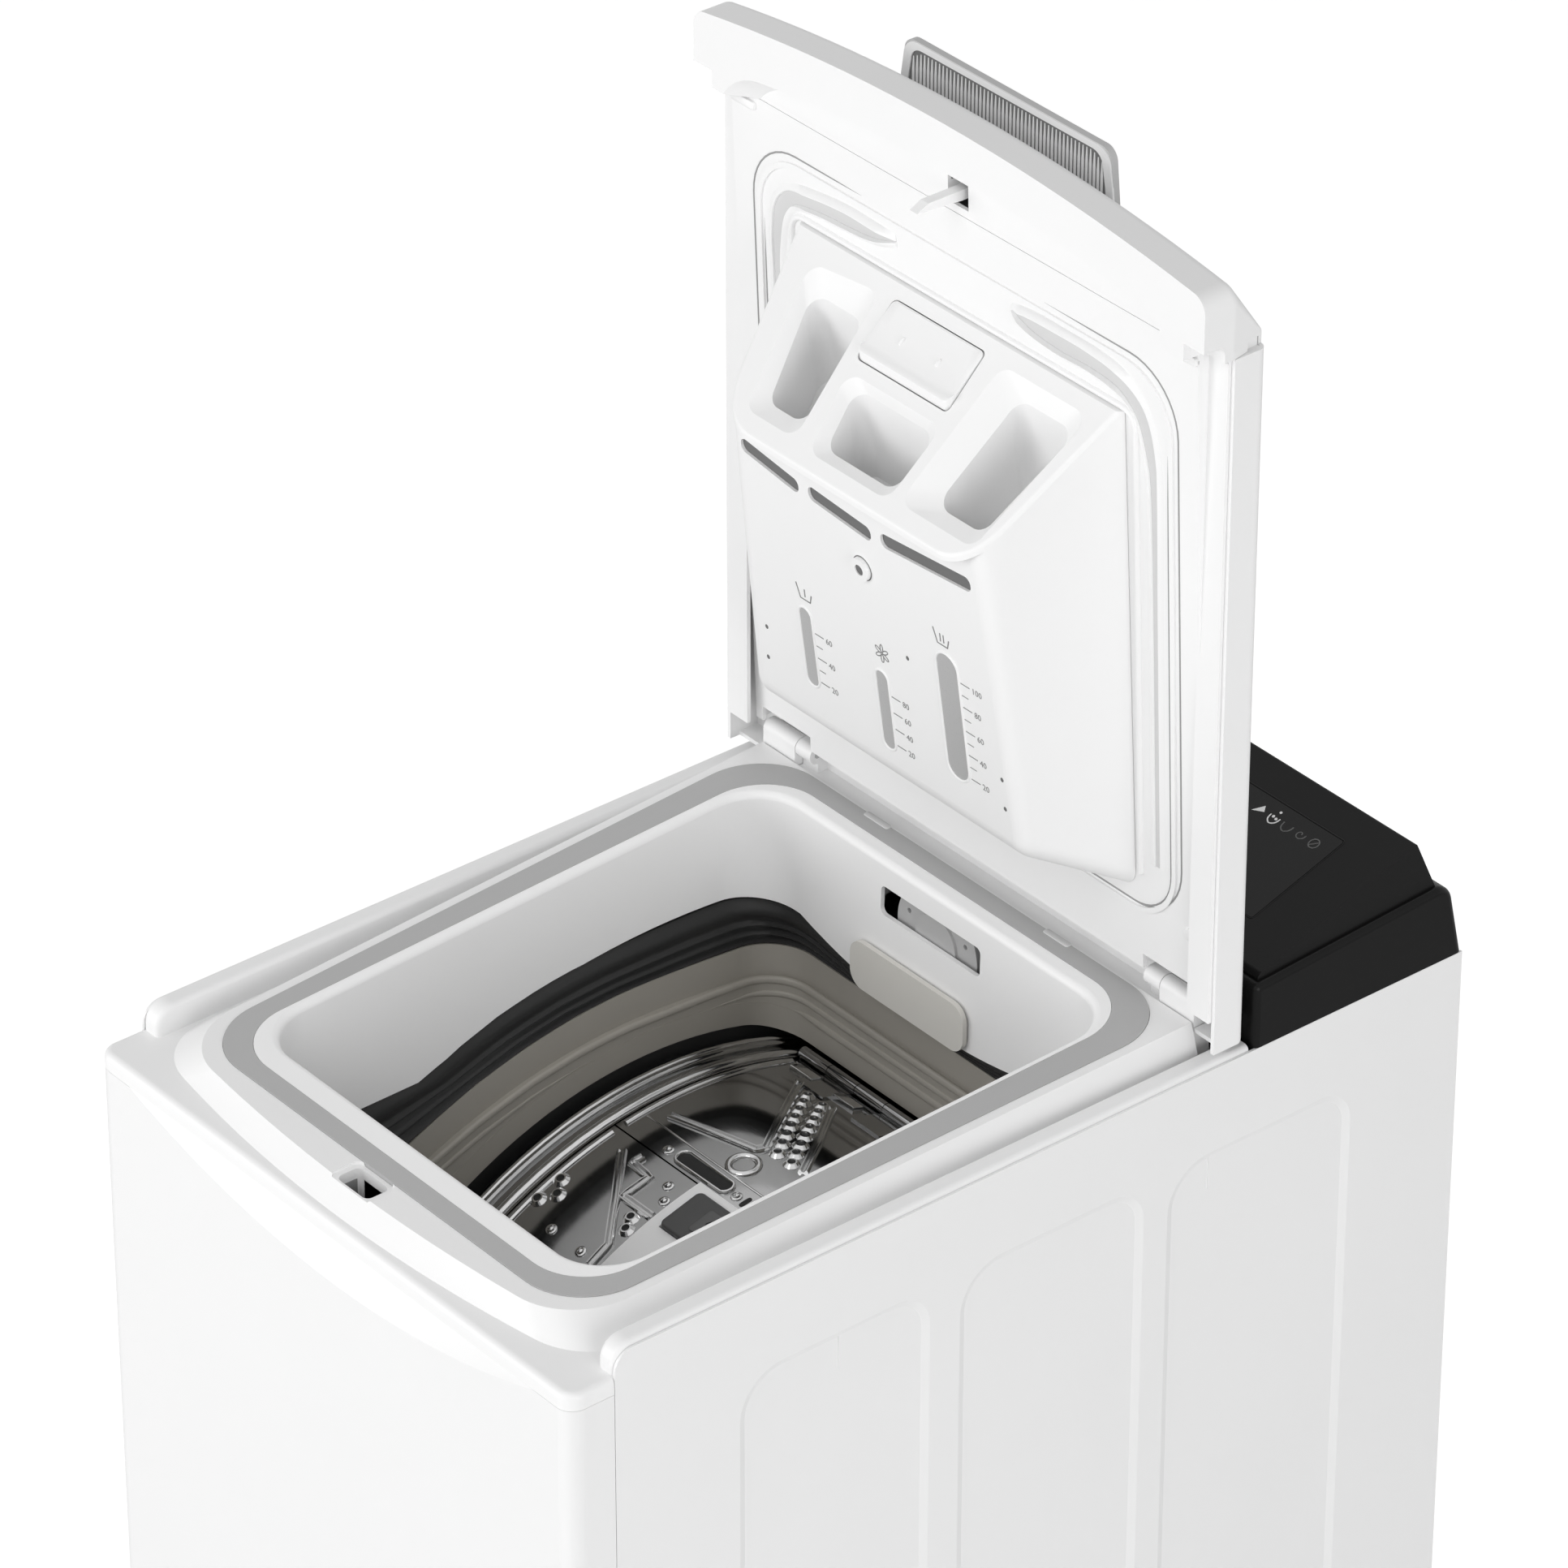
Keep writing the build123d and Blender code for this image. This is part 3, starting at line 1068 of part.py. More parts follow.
def tub_collar():
    """Collar on the tub that carries the bellows, with a step inside."""
    wall = TUB_WALL
    tall = SIDE_HEIGHT - axis_z
    outer = quad(collar_half + wall, collar_half + wall, collar_front - wall, collar_rear + wall,
                 COLLAR_CORNER + wall)
    inner = quad(collar_half, collar_half, collar_front, collar_rear, COLLAR_CORNER)
    half = wall / 2
    relief = quad(collar_half + half, collar_half + half, collar_front - half, collar_rear + half,
                  COLLAR_CORNER + half)
    body = extrude(Plane.XY.offset(axis_z) * (outer - inner), tall) & below_collar(0)
    body -= extrude(Plane.XY.offset(axis_z) * relief, tall) - below_collar(COLLAR_STEP)
    return body - drum_cylinder(tub_outer + SHAFT_FIT, tub_end + LEDGE)


def bellows_solid(grow):
    """Outside or inside of the bellows, from the funnel's outline to the collar's."""
    high = FUNNEL_WALL / 2 - FUNNEL_DRAFT + grow
    low = TUB_WALL * 0.75 + grow
    top = mouth(high)
    foot_outline = quad(collar_half + low, collar_half + low, collar_front - low, collar_rear + low,
                        COLLAR_CORNER + low)
    top_z = SIDE_HEIGHT - min(drop for _, drop in FUNNEL_ARCH) + LEDGE
    foot_z = SIDE_HEIGHT - max(drop for _, drop in COLLAR_ARCH)
    return loft([Plane.XY.offset(top_z) * top, Plane.XY.offset(foot_z) * foot_outline], ruled=True)


def bellows():
    """Rubber ring between the funnel's saddle edge and the collar's arched top."""
    half = BELLOWS_WALL / 2
    ring = bellows_solid(half) - bellows_solid(-half)
    return (ring & below_funnel(SHAFT_FIT)) - below_collar(-SHAFT_FIT)


def bearing_housings():
    """Two flanged housings on the tub's ends."""
    made = []
    for side in (-1, 1):
        x0 = side * (tub_end + FIT)
        x1 = side * (tub_end + FIT + HOUSING_WIDTH)
        body = rod_x(HOUSING_RADIUS, x0, x1, axis_y, axis_z)
        flange = rod_x(HOUSING_RADIUS * 2, x0, x0 + side * TUB_WALL, axis_y, axis_z)
        seat = rod_x(BEARING_RADIUS + SHAFT_FIT, x1 - side * BEARING_WIDTH, x1 + side, axis_y, axis_z)
        made.append(body + flange - seat - rod_x(SHAFT_RADIUS + TUB_WALL, x0 - side, x1, axis_y, axis_z))
    return Compound(children=made)


def bearings():
    """Two ball bearings as plain rings."""
    made = []
    for side in (-1, 1):
        x1 = side * (tub_end + FIT + HOUSING_WIDTH)
        ring = rod_x(BEARING_RADIUS, x1 - side * BEARING_WIDTH, x1, axis_y, axis_z)
        made.append(ring - rod_x(SHAFT_RADIUS + SHAFT_FIT, x1 - side * (BEARING_WIDTH + 1), x1 + side, axis_y,
                                 axis_z))
    return Compound(children=made)


def counterweight():
    """Concrete block moulded to the front of the tub."""
    ring = drum_cylinder(tub_outer + FIT + WEIGHT_THICK, weight_half) - drum_cylinder(tub_outer + FIT,
                                                                                      weight_half + 1)
    return ring & block(-half_w, half_w, front_y, axis_y - tub_outer * 0.7, axis_z - tub_outer * 0.5,
                        axis_z + tub_outer * 0.5)


def motor_face():
    """X of the motor's shaft end."""
    return pulley_x - MOTOR_GAP


def motor():
    """Motor slung below the tub on two brackets."""
    x1 = motor_face()
    x0 = x1 - motor_length
    body = rod_x(MOTOR_RADIUS, x0, x1, motor_y, motor_z)
    body = fillet(body.edges().filter_by(GeomType.CIRCLE), LIP_ROUND)
    for x in (x0 + LEDGE * 2, x1 - LEDGE * 5):
        arm = block(x, x + LEDGE * 2, motor_y - MOTOR_RADIUS * 0.5, motor_y + MOTOR_RADIUS * 0.5,
                    motor_z + MOTOR_RADIUS * 0.5, axis_z - tub_outer * 0.5)
        body += arm - drum_cylinder(tub_outer + SHAFT_FIT, tub_end)
    return body - rod_x(MOTOR_SHAFT + SHAFT_FIT, x1 - LEDGE * 2, x1 + 1, motor_y, motor_z)


def motor_pulley():
    """Small pulley with its shaft into the motor."""
    middle = pulley_x + PULLEY_WIDTH / 2
    half = BELT_WIDTH / 2 + SHEET
    body = rod_x(MOTOR_PULLEY, middle - half, middle + half, motor_y, motor_z)
    return body + rod_x(MOTOR_SHAFT, motor_face() - LEDGE * 1.5, middle - half, motor_y, motor_z)


def drum_pulley():
    """Large spoked pulley on the right trunnion."""
    middle = pulley_x + PULLEY_WIDTH / 2
    half = PULLEY_WIDTH / 2
    rim = rod_x(PULLEY_RADIUS, middle - half, middle + half, axis_y, axis_z)
    rim -= rod_x(PULLEY_RADIUS - LEDGE, middle - half - 1, middle + half + 1, axis_y, axis_z)
    hub = rod_x(SHAFT_END * 2.5, middle - half, middle + half, axis_y, axis_z)
    body = rim + hub
    for angle in range(0, 360, 60):
        spoke = block(middle - half * 0.7, middle + half * 0.7, -LEDGE, LEDGE, SHAFT_END * 2,
                      PULLEY_RADIUS - LEDGE / 2)
        body += on_drum(spoke, angle)
    return body - rod_x(SHAFT_END + SHAFT_FIT / 2, middle - half - 1, middle + half + 1, axis_y, axis_z)


def belt_outline(grow):
    """Outline round both pulleys."""
    big = Pos(axis_y, axis_z) * Circle(PULLEY_RADIUS + grow)
    small = Pos(motor_y, motor_z) * Circle(MOTOR_PULLEY + grow)
    return make_hull(big.edges() + small.edges())


def drive_belt():
    """Flat belt round the drum pulley and the motor pulley."""
    gap = RUN * 0.6
    middle = pulley_x + PULLEY_WIDTH / 2
    band = belt_outline(gap + BELT_THICK) - belt_outline(gap)
    return extrude(Plane.YZ.offset(middle - BELT_WIDTH / 2) * band, BELT_WIDTH)


def heater_rows():
    """Y of the heater's two runs."""
    return (sump_front + TUB_WALL * 3.5, sump_rear - TUB_WALL * 3.5)


def heater_z():
    """Height of the heater tube."""
    return axis_z - tub_outer - SUMP_DEPTH + TUB_WALL + HEATER_TUBE * 1.6


def heater():
    """Bent heating tube in the sump with its flange on the right."""
    y0, y1 = heater_rows()
    z = heater_z()
    end = sump_half + FIT
    bend = (y1 - y0) / 2
    left = -sump_half + TUB_WALL * 3
    points = ((end, y0, z), (left, y0, z), (left, y1, z), (end, y1, z))
    path = FilletPolyline(*points, radius=bend * 0.9)
    rod = sweep(Plane(origin=path @ 0, z_dir=path % 0) * Circle(HEATER_TUBE), path=path)
    flange = block(end, end + TUB_WALL, y0 - HEATER_TUBE * 2, y1 + HEATER_TUBE * 2, z - HEATER_TUBE * 2,
                   z + HEATER_TUBE * 2)
    return rod + (flange - drum_cylinder(tub_outer + FIT, tub_end))


def damper_cylinders():
    """Two damper bodies that stand on the base."""
    made = []
    for side in (-1, 1):
        body = rod_z(DAMPER_RADIUS, side * damper_x, damper_y, floor_z, floor_z + damper_height)
        made.append(body - rod_z(DAMPER_ROD + RUN, side * damper_x, damper_y, floor_z + LEDGE,
                                 floor_z + damper_height + 1))
    return Compound(children=made)


def damper_rods():
    """Two damper rods with heads shaped to the tub."""
    made = []
    top = axis_z - tub_outer * 0.8
    for side in (-1, 1):
        x = side * damper_x
        bottom = floor_z + LEDGE + FLOAT_DOWN + RUN * 4
        rod = rod_z(DAMPER_ROD, x, damper_y, bottom, top)
        head = block(x - DAMPER_RADIUS, x + DAMPER_RADIUS, damper_y - DAMPER_RADIUS, damper_y + DAMPER_RADIUS,
                     floor_z + damper_height + FLOAT_DOWN * 4, top)
        made.append(rod + head - drum_cylinder(tub_outer + SHAFT_FIT, tub_end + LEDGE))
    return Compound(children=made)


def suspension_springs():
    """Four springs between the side brackets and the tub lugs."""
    top = SIDE_HEIGHT - SPRING_TOP_DROP
    made = []
    for side in (-1, 1):
        for y in spring_places:
            body = rod_z(SPRING_RADIUS * 0.9, side * spring_x, y, top - SPRING_LENGTH, top)
            made.append(body)
    return Compound(children=made)


def sump_hose():
    """Rubber hose from the sump to the pump."""
    top = axis_z - tub_outer - SUMP_DEPTH
    end = front_y + PUMP_FRONT_GAP + PUMP_LENGTH
    points = ((pump_x, sump_hose_y, top), (pump_x, sump_hose_y, PUMP_Z), (pump_x, end, PUMP_Z))
    return tube(points, SUMP_HOSE_RADIUS * 3, SUMP_HOSE_RADIUS, SUMP_HOSE_BORE)


def hinge_radius():
    """Drum axis to the flap hinge pins."""
    return drum_radius + KNUCKLE + SHAFT_FIT * 2


def hinge_set(spans, angle, away):
    """Knuckles and straps of one flap hinge, on one side of the pin."""
    body = None
    for x0, x1 in spans:
        knuckle = rod_x(KNUCKLE, x0, x1, 0, hinge_radius())
        strap = sector(drum_radius, drum_radius + STRAP, min(0, away), max(0, away), x0, x1)
        piece = knuckle + strap
        body = piece if body is None else body + piece
    return Rot(-angle, 0, 0) * body


def knuckle_spans(first):
    """Alternating knuckles along a flap hinge."""
    pitch = flap_half * 2 / 9
    spans = []
    for index in range(first, 9, 2):
        x0 = -flap_half + index * pitch + RUN / 2
        spans.append((x0, x0 + pitch - RUN))
    return spans


def drum_shell():
    """Rolled drum with its door opening and the hinge knuckles that stay on it."""
    shell = rod_x(drum_radius, -drum_half, drum_half, 0, 0) - rod_x(drum_radius - DRUM_SHEET, -drum_half,
                                                                    drum_half, 0, 0)
    margin = degrees(FLAP_GAP / drum_radius)
    shell -= sector(drum_radius - DRUM_SHEET * 2, drum_radius + 1, FLAP_FRONT - margin, FLAP_REAR + margin,
                    -flap_half - FLAP_GAP, flap_half + FLAP_GAP)
    for angle, away in ((FLAP_REAR, STRAP_DEGREES), (FLAP_FRONT, -STRAP_DEGREES)):
        shell += hinge_set(knuckle_spans(0), angle, away)
    for angle in (FLAP_REAR, FLAP_FRONT):
        bore = rod_x(KNUCKLE_PIN + SHAFT_FIT, -flap_half - 1, flap_half + 1, 0, hinge_radius())
        shell -= Rot(-angle, 0, 0) * bore
    return on_drum(shell)


def flap(a0, a1, hinge_angle, away):
    """A curved flap with its knuckles and pin."""
    body = sector(drum_radius - DRUM_SHEET, drum_radius, a0, a1, -flap_half, flap_half)
    body += hinge_set(knuckle_spans(1), hinge_angle, away)
    pin = rod_x(KNUCKLE_PIN, -flap_half, flap_half, 0, hinge_radius())
    return body + Rot(-hinge_angle, 0, 0) * pin


def flap_edges():
    """Angles of the flaps' free edges and hinge edges."""
    gap = degrees(FLAP_GAP / drum_radius)
    return FLAP_FRONT + gap / 2, FLAP_SEAM - gap / 2, FLAP_SEAM + gap / 2, FLAP_REAR - gap / 2


def front_flap():
    """Front flap, with a pocket behind the latch button."""
    a0, a1, _, _ = flap_edges()
    pocket = block(-BUTTON_HALF - RUN, BUTTON_HALF + RUN, -BUTTON_LENGTH / 2 - RUN, BUTTON_LENGTH / 2 + RUN,
                   drum_radius - LEDGE, drum_radius + LEDGE)
    return on_drum(flap(a0, a1, FLAP_FRONT, STRAP_DEGREES) - Rot(-BUTTON_ANGLE, 0, 0) * pocket)


def rear_flap():
    """Rear flap."""
    _, _, a0, a1 = flap_edges()
    return on_drum(flap(a0, a1, FLAP_REAR, -STRAP_DEGREES))


def latch_plate():
    """White latch plate on the front flap."""
    _, a1, _, _ = flap_edges()
    plate = sector(drum_radius + SHAFT_FIT, drum_radius + LATCH_THICK, LATCH_FRONT, a1, -LATCH_HALF,
                   LATCH_HALF)
    pocket = block(-BUTTON_HALF - RUN / 2, BUTTON_HALF + RUN / 2, -BUTTON_LENGTH / 2 - RUN / 2,
                   BUTTON_LENGTH / 2 + RUN / 2, drum_radius - LEDGE, drum_radius + LEDGE)
    return on_drum(plate - Rot(-BUTTON_ANGLE, 0, 0) * pocket)


def latch_button():
    """Push button in the latch plate."""
    top = drum_radius + LATCH_THICK + BUTTON_PROUD
    body = block(-BUTTON_HALF, BUTTON_HALF, -BUTTON_LENGTH / 2, BUTTON_LENGTH / 2, drum_radius + SHAFT_FIT,
                 top)
    body = fillet(body.edges().filter_by(Axis.Z), LIP_ROUND)
    body = fillet(body.faces().sort_by(Axis.Z)[-1].edges(), SHEET)
    return on_drum(body, BUTTON_ANGLE)


def drum_end(side):
    """Pressed end with rolled rim and trunnion."""
    x0 = side * drum_half
    rim = rod_x(drum_radius + DRUM_RIM, x0 - side * (DRUM_RIM_WIDTH - DRUM_RIM), side * drum_end_x, axis_y,
                axis_z)
    rim = fillet(rim.edges().filter_by(GeomType.CIRCLE), DRUM_RIM * 0.9)
    rim -= rod_x(drum_radius + SHAFT_FIT, x0 - side * DRUM_RIM_WIDTH, x0 + side * SHAFT_FIT, axis_y, axis_z)
    dish = drum_radius - LEDGE * 3
    rim -= rod_x(dish, x0 + side * DRUM_SHEET, side * (drum_end_x + 1), axis_y, axis_z)
    hub_end = side * (tub_end + FIT + HOUSING_WIDTH + RUN)
    hub = rod_x(SHAFT_RADIUS * 3, x0, side * drum_end_x, axis_y, axis_z)
    shaft = rod_x(SHAFT_RADIUS, x0, hub_end, axis_y, axis_z)
    body = rim + hub + shaft
    if side > 0:
        body += rod_x(SHAFT_END, hub_end - LEDGE / 2, pulley_x + PULLEY_WIDTH, axis_y, axis_z)
    return body


def drum_ends():
    """Both drum ends."""
    return Compound(children=[drum_end(-1), drum_end(1)])


def drum_lifters():
    """Three paddles inside the drum."""
    made = []
    for angle in LIFTER_ANGLES:
        root = drum_radius - DRUM_SHEET - SHAFT_FIT
        body = sector(root - LIFTER_HEIGHT, root, -LEDGE / 2, LEDGE / 2, -flap_half, flap_half)
        body = fillet(body.edges().filter_by(Axis.X).group_by(Axis.Z)[0], LEDGE)
        made.append(on_drum(body, angle))
    return Compound(children=made)


def lid_shell():
    """Outer lid skin with side walls, rear wall and hinge knuckles."""
    z0 = hinge_z - LID_TAIL
    body = block(-half_w, half_w, lid_rim_y, lid_back_y, z0, cap_z - FIT)
    edges = body.edges().filter_by(Axis.Z).group_by(Axis.Y)[-1] + body.edges().filter_by(Axis.X).group_by(
        Axis.Y)[-1].sort_by(Axis.Z)[:1]
    body = fillet(edges, LID_ROUND)
    wide = half_w - LID_WALL
    body -= block(-wide, wide, lid_rim_y - 1, lid_back_y - LID_WALL, z0 + LID_WALL, cap_z + 1)
    body -= block(-wide, wide, lid_rim_y - 1, hinge_y - HINGE_BARREL, z0 - 1, z0 + LID_WALL + 1)
    for side in (-1, 1):
        body -= hinge_notch(side, lid_back_y - LID_WALL)
        body += lid_knuckle(side)
    return body


def hinge_notch(side, back):
    """Room in the lid for a hinge barrel and its arm."""
    x0 = side * (barrel_inner - RUN)
    x1 = side * (barrel_outer + RUN)
    return block(x0, x1, 0, back, hinge_z - LID_TAIL - 1, hinge_z + LID_TAIL)


def lid_knuckle(side):
    """Knuckle beside a hinge barrel, on a web to the lid's skin."""
    x0 = side * knuckle_inner
    x1 = side * (barrel_inner - RUN)
    knuckle = rod_x(HINGE_BARREL, x0, x1, hinge_y, hinge_z)
    web = block(x0, x1, hinge_y, lid_back_y - LID_WALL, hinge_z - LID_TAIL, hinge_z + HINGE_BARREL)
    return knuckle + web - rod_x(HINGE_PIN + SHAFT_FIT, side * (knuckle_inner - 1), side * barrel_inner,
                                 hinge_y, hinge_z)


def cap_outline(inset, fall=0.0, narrow=0.0):
    """Bowed front of the lid in the X-Z plane, lower and narrower where the outside falls away."""
    wide = half_w - inset - narrow
    tip = lid_tip_z - inset - fall
    arc = ThreePointArc((-wide, tip), (0, tip + LID_BOW), (wide, tip))
    rest = Polyline((wide, tip), (wide, cap_z), (-wide, cap_z), (-wide, tip))
    face = make_face(arc + rest)
    return fillet(face.vertices().sort_by(Axis.Y)[2:], (lid_tip_z - cap_z - fall) * 0.25 - inset * 0.2)


def cap_solid(inset):
    """Front cap, full or its inside: a flat strip, then an outside that slopes back."""
    crease = cap_rim_y + CAP_STRIP
    face_plane = Plane(origin=(0, crease, 0), x_dir=(1, 0, 0), z_dir=(0, -1, 0))
    back_plane = Plane(origin=(0, lid_back_y - inset, 0), x_dir=(1, 0, 0), z_dir=(0, -1, 0))
    body = extrude(face_plane * cap_outline(inset), CAP_STRIP - inset)
    slope = loft([face_plane * cap_outline(inset), back_plane * cap_outline(inset, CAP_FALL, CAP_FALL_SIDE)])
    body += slope
    ridge = [e for e in body.edges() if abs(e.center().Y - crease) < FIT and e.center().Z > cap_z + 1]
    return fillet(ridge, CAP_ROUND)


def opened(shape):
    """Turns a shape placed for the closed lid to the open one."""
    return shape.rotate(Axis((0, hinge_y, hinge_z), (-1, 0, 0)), 90)


def cap_recess(grow):
    """Room in the cap for the rim and the rails, once the lid is closed."""
    room = rim_body(LINER_GAP + grow)
    y0 = side_y - RUN * 6 - grow
    y1 = side_y + CAP_NOTCH
    low = ledge_z - LEDGE
    high = rail_z + RUN * 2 + grow
    points = ((y0, low), (y1, low), (y1, high), (y0, high))
    edge = inner_x - RAIL_WIDTH - RUN * 3 - grow
    for side in (-1, 1):
        room += profile_x(points, side * edge, side * (half_w + LEDGE), {3: CAP_NOTCH - LID_WALL})
    return opened(room)


def lid_front_cap():
    """Bowed front cap with a deep apron, the hook slot and the handle lugs."""
    hollow = cap_solid(LID_WALL) + block(-half_w + LID_WALL, half_w - LID_WALL, cap_rim_y + LID_WALL,
                                         lid_back_y - LID_WALL, cap_z - 1, cap_z + LID_WALL * 2)
    body = cap_solid(0) - cap_recess(0)
    body -= hollow - cap_recess(LID_WALL)
    face = hook_face_y()
    z = hinge_z + hook_place
    body -= block(-HOOK_SLOT_HALF, HOOK_SLOT_HALF, face - LID_WALL, face + LID_WALL * 2,
                  z - HOOK_SLOT_HEIGHT / 2, z + HOOK_SLOT_HEIGHT / 2)
    pivot_y = hook_pivot_y()
    for side in (-1, 1):
        lug = block(side * HOOK_SLOT_HALF, side * (HOOK_SLOT_HALF + LID_WALL), face + LID_WALL / 2,
                    pivot_y + HOOK_PIN * 2, z - HOOK_PIN * 2, z + HOOK_PIN * 2)
        body += lug - rod_x(HOOK_PIN + SHAFT_FIT, -HOOK_SLOT_HALF * 2, HOOK_SLOT_HALF * 2, pivot_y, z)
        y, hz = handle_hinge()
        ear = block(side * (handle_lug + RUN), side * (handle_lug + LIP_ROUND), lid_back_y - LID_WALL,
                    y + HANDLE_PIN * 2, hz - HANDLE_PIN * 2, hz + HANDLE_PIN * 2)
        body += ear - rod_x(HANDLE_PIN + SHAFT_FIT, -handle_lug * 2, handle_lug * 2, y, hz)
    return body


def hook_face_y():
    """Y of the cap's inner face at the hook."""
    return liner_y(hinge_z + hook_place)


def hook_pivot_y():
    """Y of the hook's pivot inside the cap."""
    return hook_face_y() + LID_WALL + HOOK_PIN * 4


def handle_hinge():
    """Y and Z of the handle's hinge on the outside of the cap."""
    return lid_back_y + HANDLE_THICK, hinge_z + handle_start + LIP_ROUND


def lid_handle():
    """Grip plate that lifts the hook, ribbed on its underside."""
    y0 = lid_back_y + RUN
    z0 = hinge_z + handle_start + LIP_ROUND * 2
    z1 = hinge_z + handle_end
    points = ((-handle_half, z0), (handle_half, z0), (handle_tip_half + LIP_ROUND, z1),
              (-handle_tip_half - LIP_ROUND, z1))
    face = make_face(Polyline(*points, close=True))
    face = fillet(face.vertices(), LIP_ROUND * 2)
    plane = Plane(origin=(0, y0 + HANDLE_THICK, 0), x_dir=(1, 0, 0), z_dir=(0, -1, 0))
    plate = extrude(plane * face, HANDLE_THICK)
    y, z = handle_hinge()
    spine = rod_x(HANDLE_PIN * 2, -handle_lug, handle_lug, y, z)
    spine += block(-handle_lug, handle_lug, y - HANDLE_PIN, y + HANDLE_PIN, z, z0 + LIP_ROUND)
    pins = rod_x(HANDLE_PIN, -handle_lug - LIP_ROUND, handle_lug + LIP_ROUND, y, z)
    return plate + spine + pins


def lid_hook():
    """Curved claw on its pivot pin, with a tail that balances it."""
    y = hook_pivot_y()
    z = hinge_z + hook_place
    face = hook_face_y()
    tip = face - HOOK_REACH
    half = HOOK_SLOT_HEIGHT * 0.2
    points = ((y + HOOK_PIN * 2, z - half), (face, z - half), (tip, z - half * 0.2), (tip + HOOK_REACH / 4,
                                                                                      z + half),
              (face, z + half), (y + HOOK_PIN * 2, z + half))
    claw = profile_x(points, -HOOK_THICK / 2, HOOK_THICK / 2)
    tail = block(-HOOK_THICK, HOOK_THICK, y, y + HOOK_TAIL, z - HOOK_TAIL / 2, z + HOOK_TAIL / 2)
    reach = HOOK_SLOT_HALF + LID_WALL
    return claw + tail + rod_x(HOOK_PIN, -reach, reach, y, z)


def liner_profile(shift):
    """Side view of the liner: its sloping face and its open back."""
    low = hinge_z + LINER_TAIL
    top = cap_z - FIT * 2
    back = lid_back_y - LID_WALL * 2
    return ((back, low), (liner_y(low) + shift, low), (liner_y(top) + shift, top), (back, top))


def liner_plane(z):
    """A plane on the liner's face, seen from the front."""
    return Plane(origin=(0, liner_y(z), z), x_dir=(1, 0, 0), z_dir=(0, -cos(rim_tilt), -sin(rim_tilt)))


def lid_liner():
    """Inner lid panel: sloping tray, side borders and the seal rib."""
    body = profile_x(liner_profile(0), -liner_half, liner_half)
    body -= profile_x(liner_profile(LID_WALL), -liner_half + LID_WALL, liner_half - LID_WALL)
    low = hinge_z + LINER_TAIL
    y0 = lid_rim_y - BORDER_DROP
    for side in (-1, 1):
        body += block(side * (liner_half - LID_WALL), side * (half_w - LID_WALL - FIT), y0, y0 + LID_WALL,
                      low, cap_z - FIT * 2)
        body -= hinge_notch(side, lid_back_y)
        knuckle = block(side * (knuckle_inner - RUN), side * barrel_inner, 0, lid_back_y, low - 1,
                        hinge_z + LID_TAIL)
        body -= knuckle
    middle = hinge_z + (seal_top + SEAL_BOTTOM) / 2
    outer = RectangleRounded(seal_half * 2, seal_top - SEAL_BOTTOM, SEAL_CORNER)
    inner = RectangleRounded((seal_half - SEAL_WIDTH) * 2, seal_top - SEAL_BOTTOM - SEAL_WIDTH * 2,
                             SEAL_CORNER - SEAL_WIDTH)
    return body + extrude(liner_plane(middle).offset(-LID_WALL / 2) * (outer - inner),
                          SEAL_HEIGHT + LID_WALL / 2)


def tray_top_point(along):
    """A point on the tray's sloping top, measured forward from its rear edge."""
    return rear_point - along * sin(TRAY_TILT), rear_height - along * cos(TRAY_TILT)


def tray_top_plane(along):
    """A plane on the tray's sloping top, with its Y axis up the slope."""
    y, z = tray_top_point(along)
    up = Vector(0, sin(TRAY_TILT), cos(TRAY_TILT))
    return Plane(origin=(0, y, z), x_dir=(1, 0, 0), z_dir=Vector(1, 0, 0).cross(up))


def tray_wall_y(z):
    """The tray's front wall, seen from the side."""
    return hinge_y - TRAY_FOOT_DEPTH - (z - hinge_z - TRAY_FOOT) * TRAY_WALL_LEAN


def tray_wall_plane():
    """A plane on the tray's front wall, with its Y axis up the wall."""
    z = hinge_z + TRAY_FOOT
    return Plane(origin=(0, tray_wall_y(z), z), x_dir=(1, 0, 0),
                 z_dir=Vector(1, 0, 0).cross(Vector(0, -TRAY_WALL_LEAN, 1)))


def tray_plan(inset):
    """The tray seen from above: straight lip with broad rounded corners, widening to the lid."""
    lip_y = tray_top_point(TRAY_LIP_ALONG)[0]
    back = liner_y(hinge_z + TRAY_BOTTOM)
    front_half = tray_front_half - inset
    base_half = tray_base_half - inset
    points = ((-front_half, lip_y), (front_half, lip_y), (base_half, back), (-base_half, back))
    plan = make_face(Polyline(*points, close=True))
    return fillet(plan.vertices().group_by(Axis.Y)[0], TRAY_CORNER - inset)


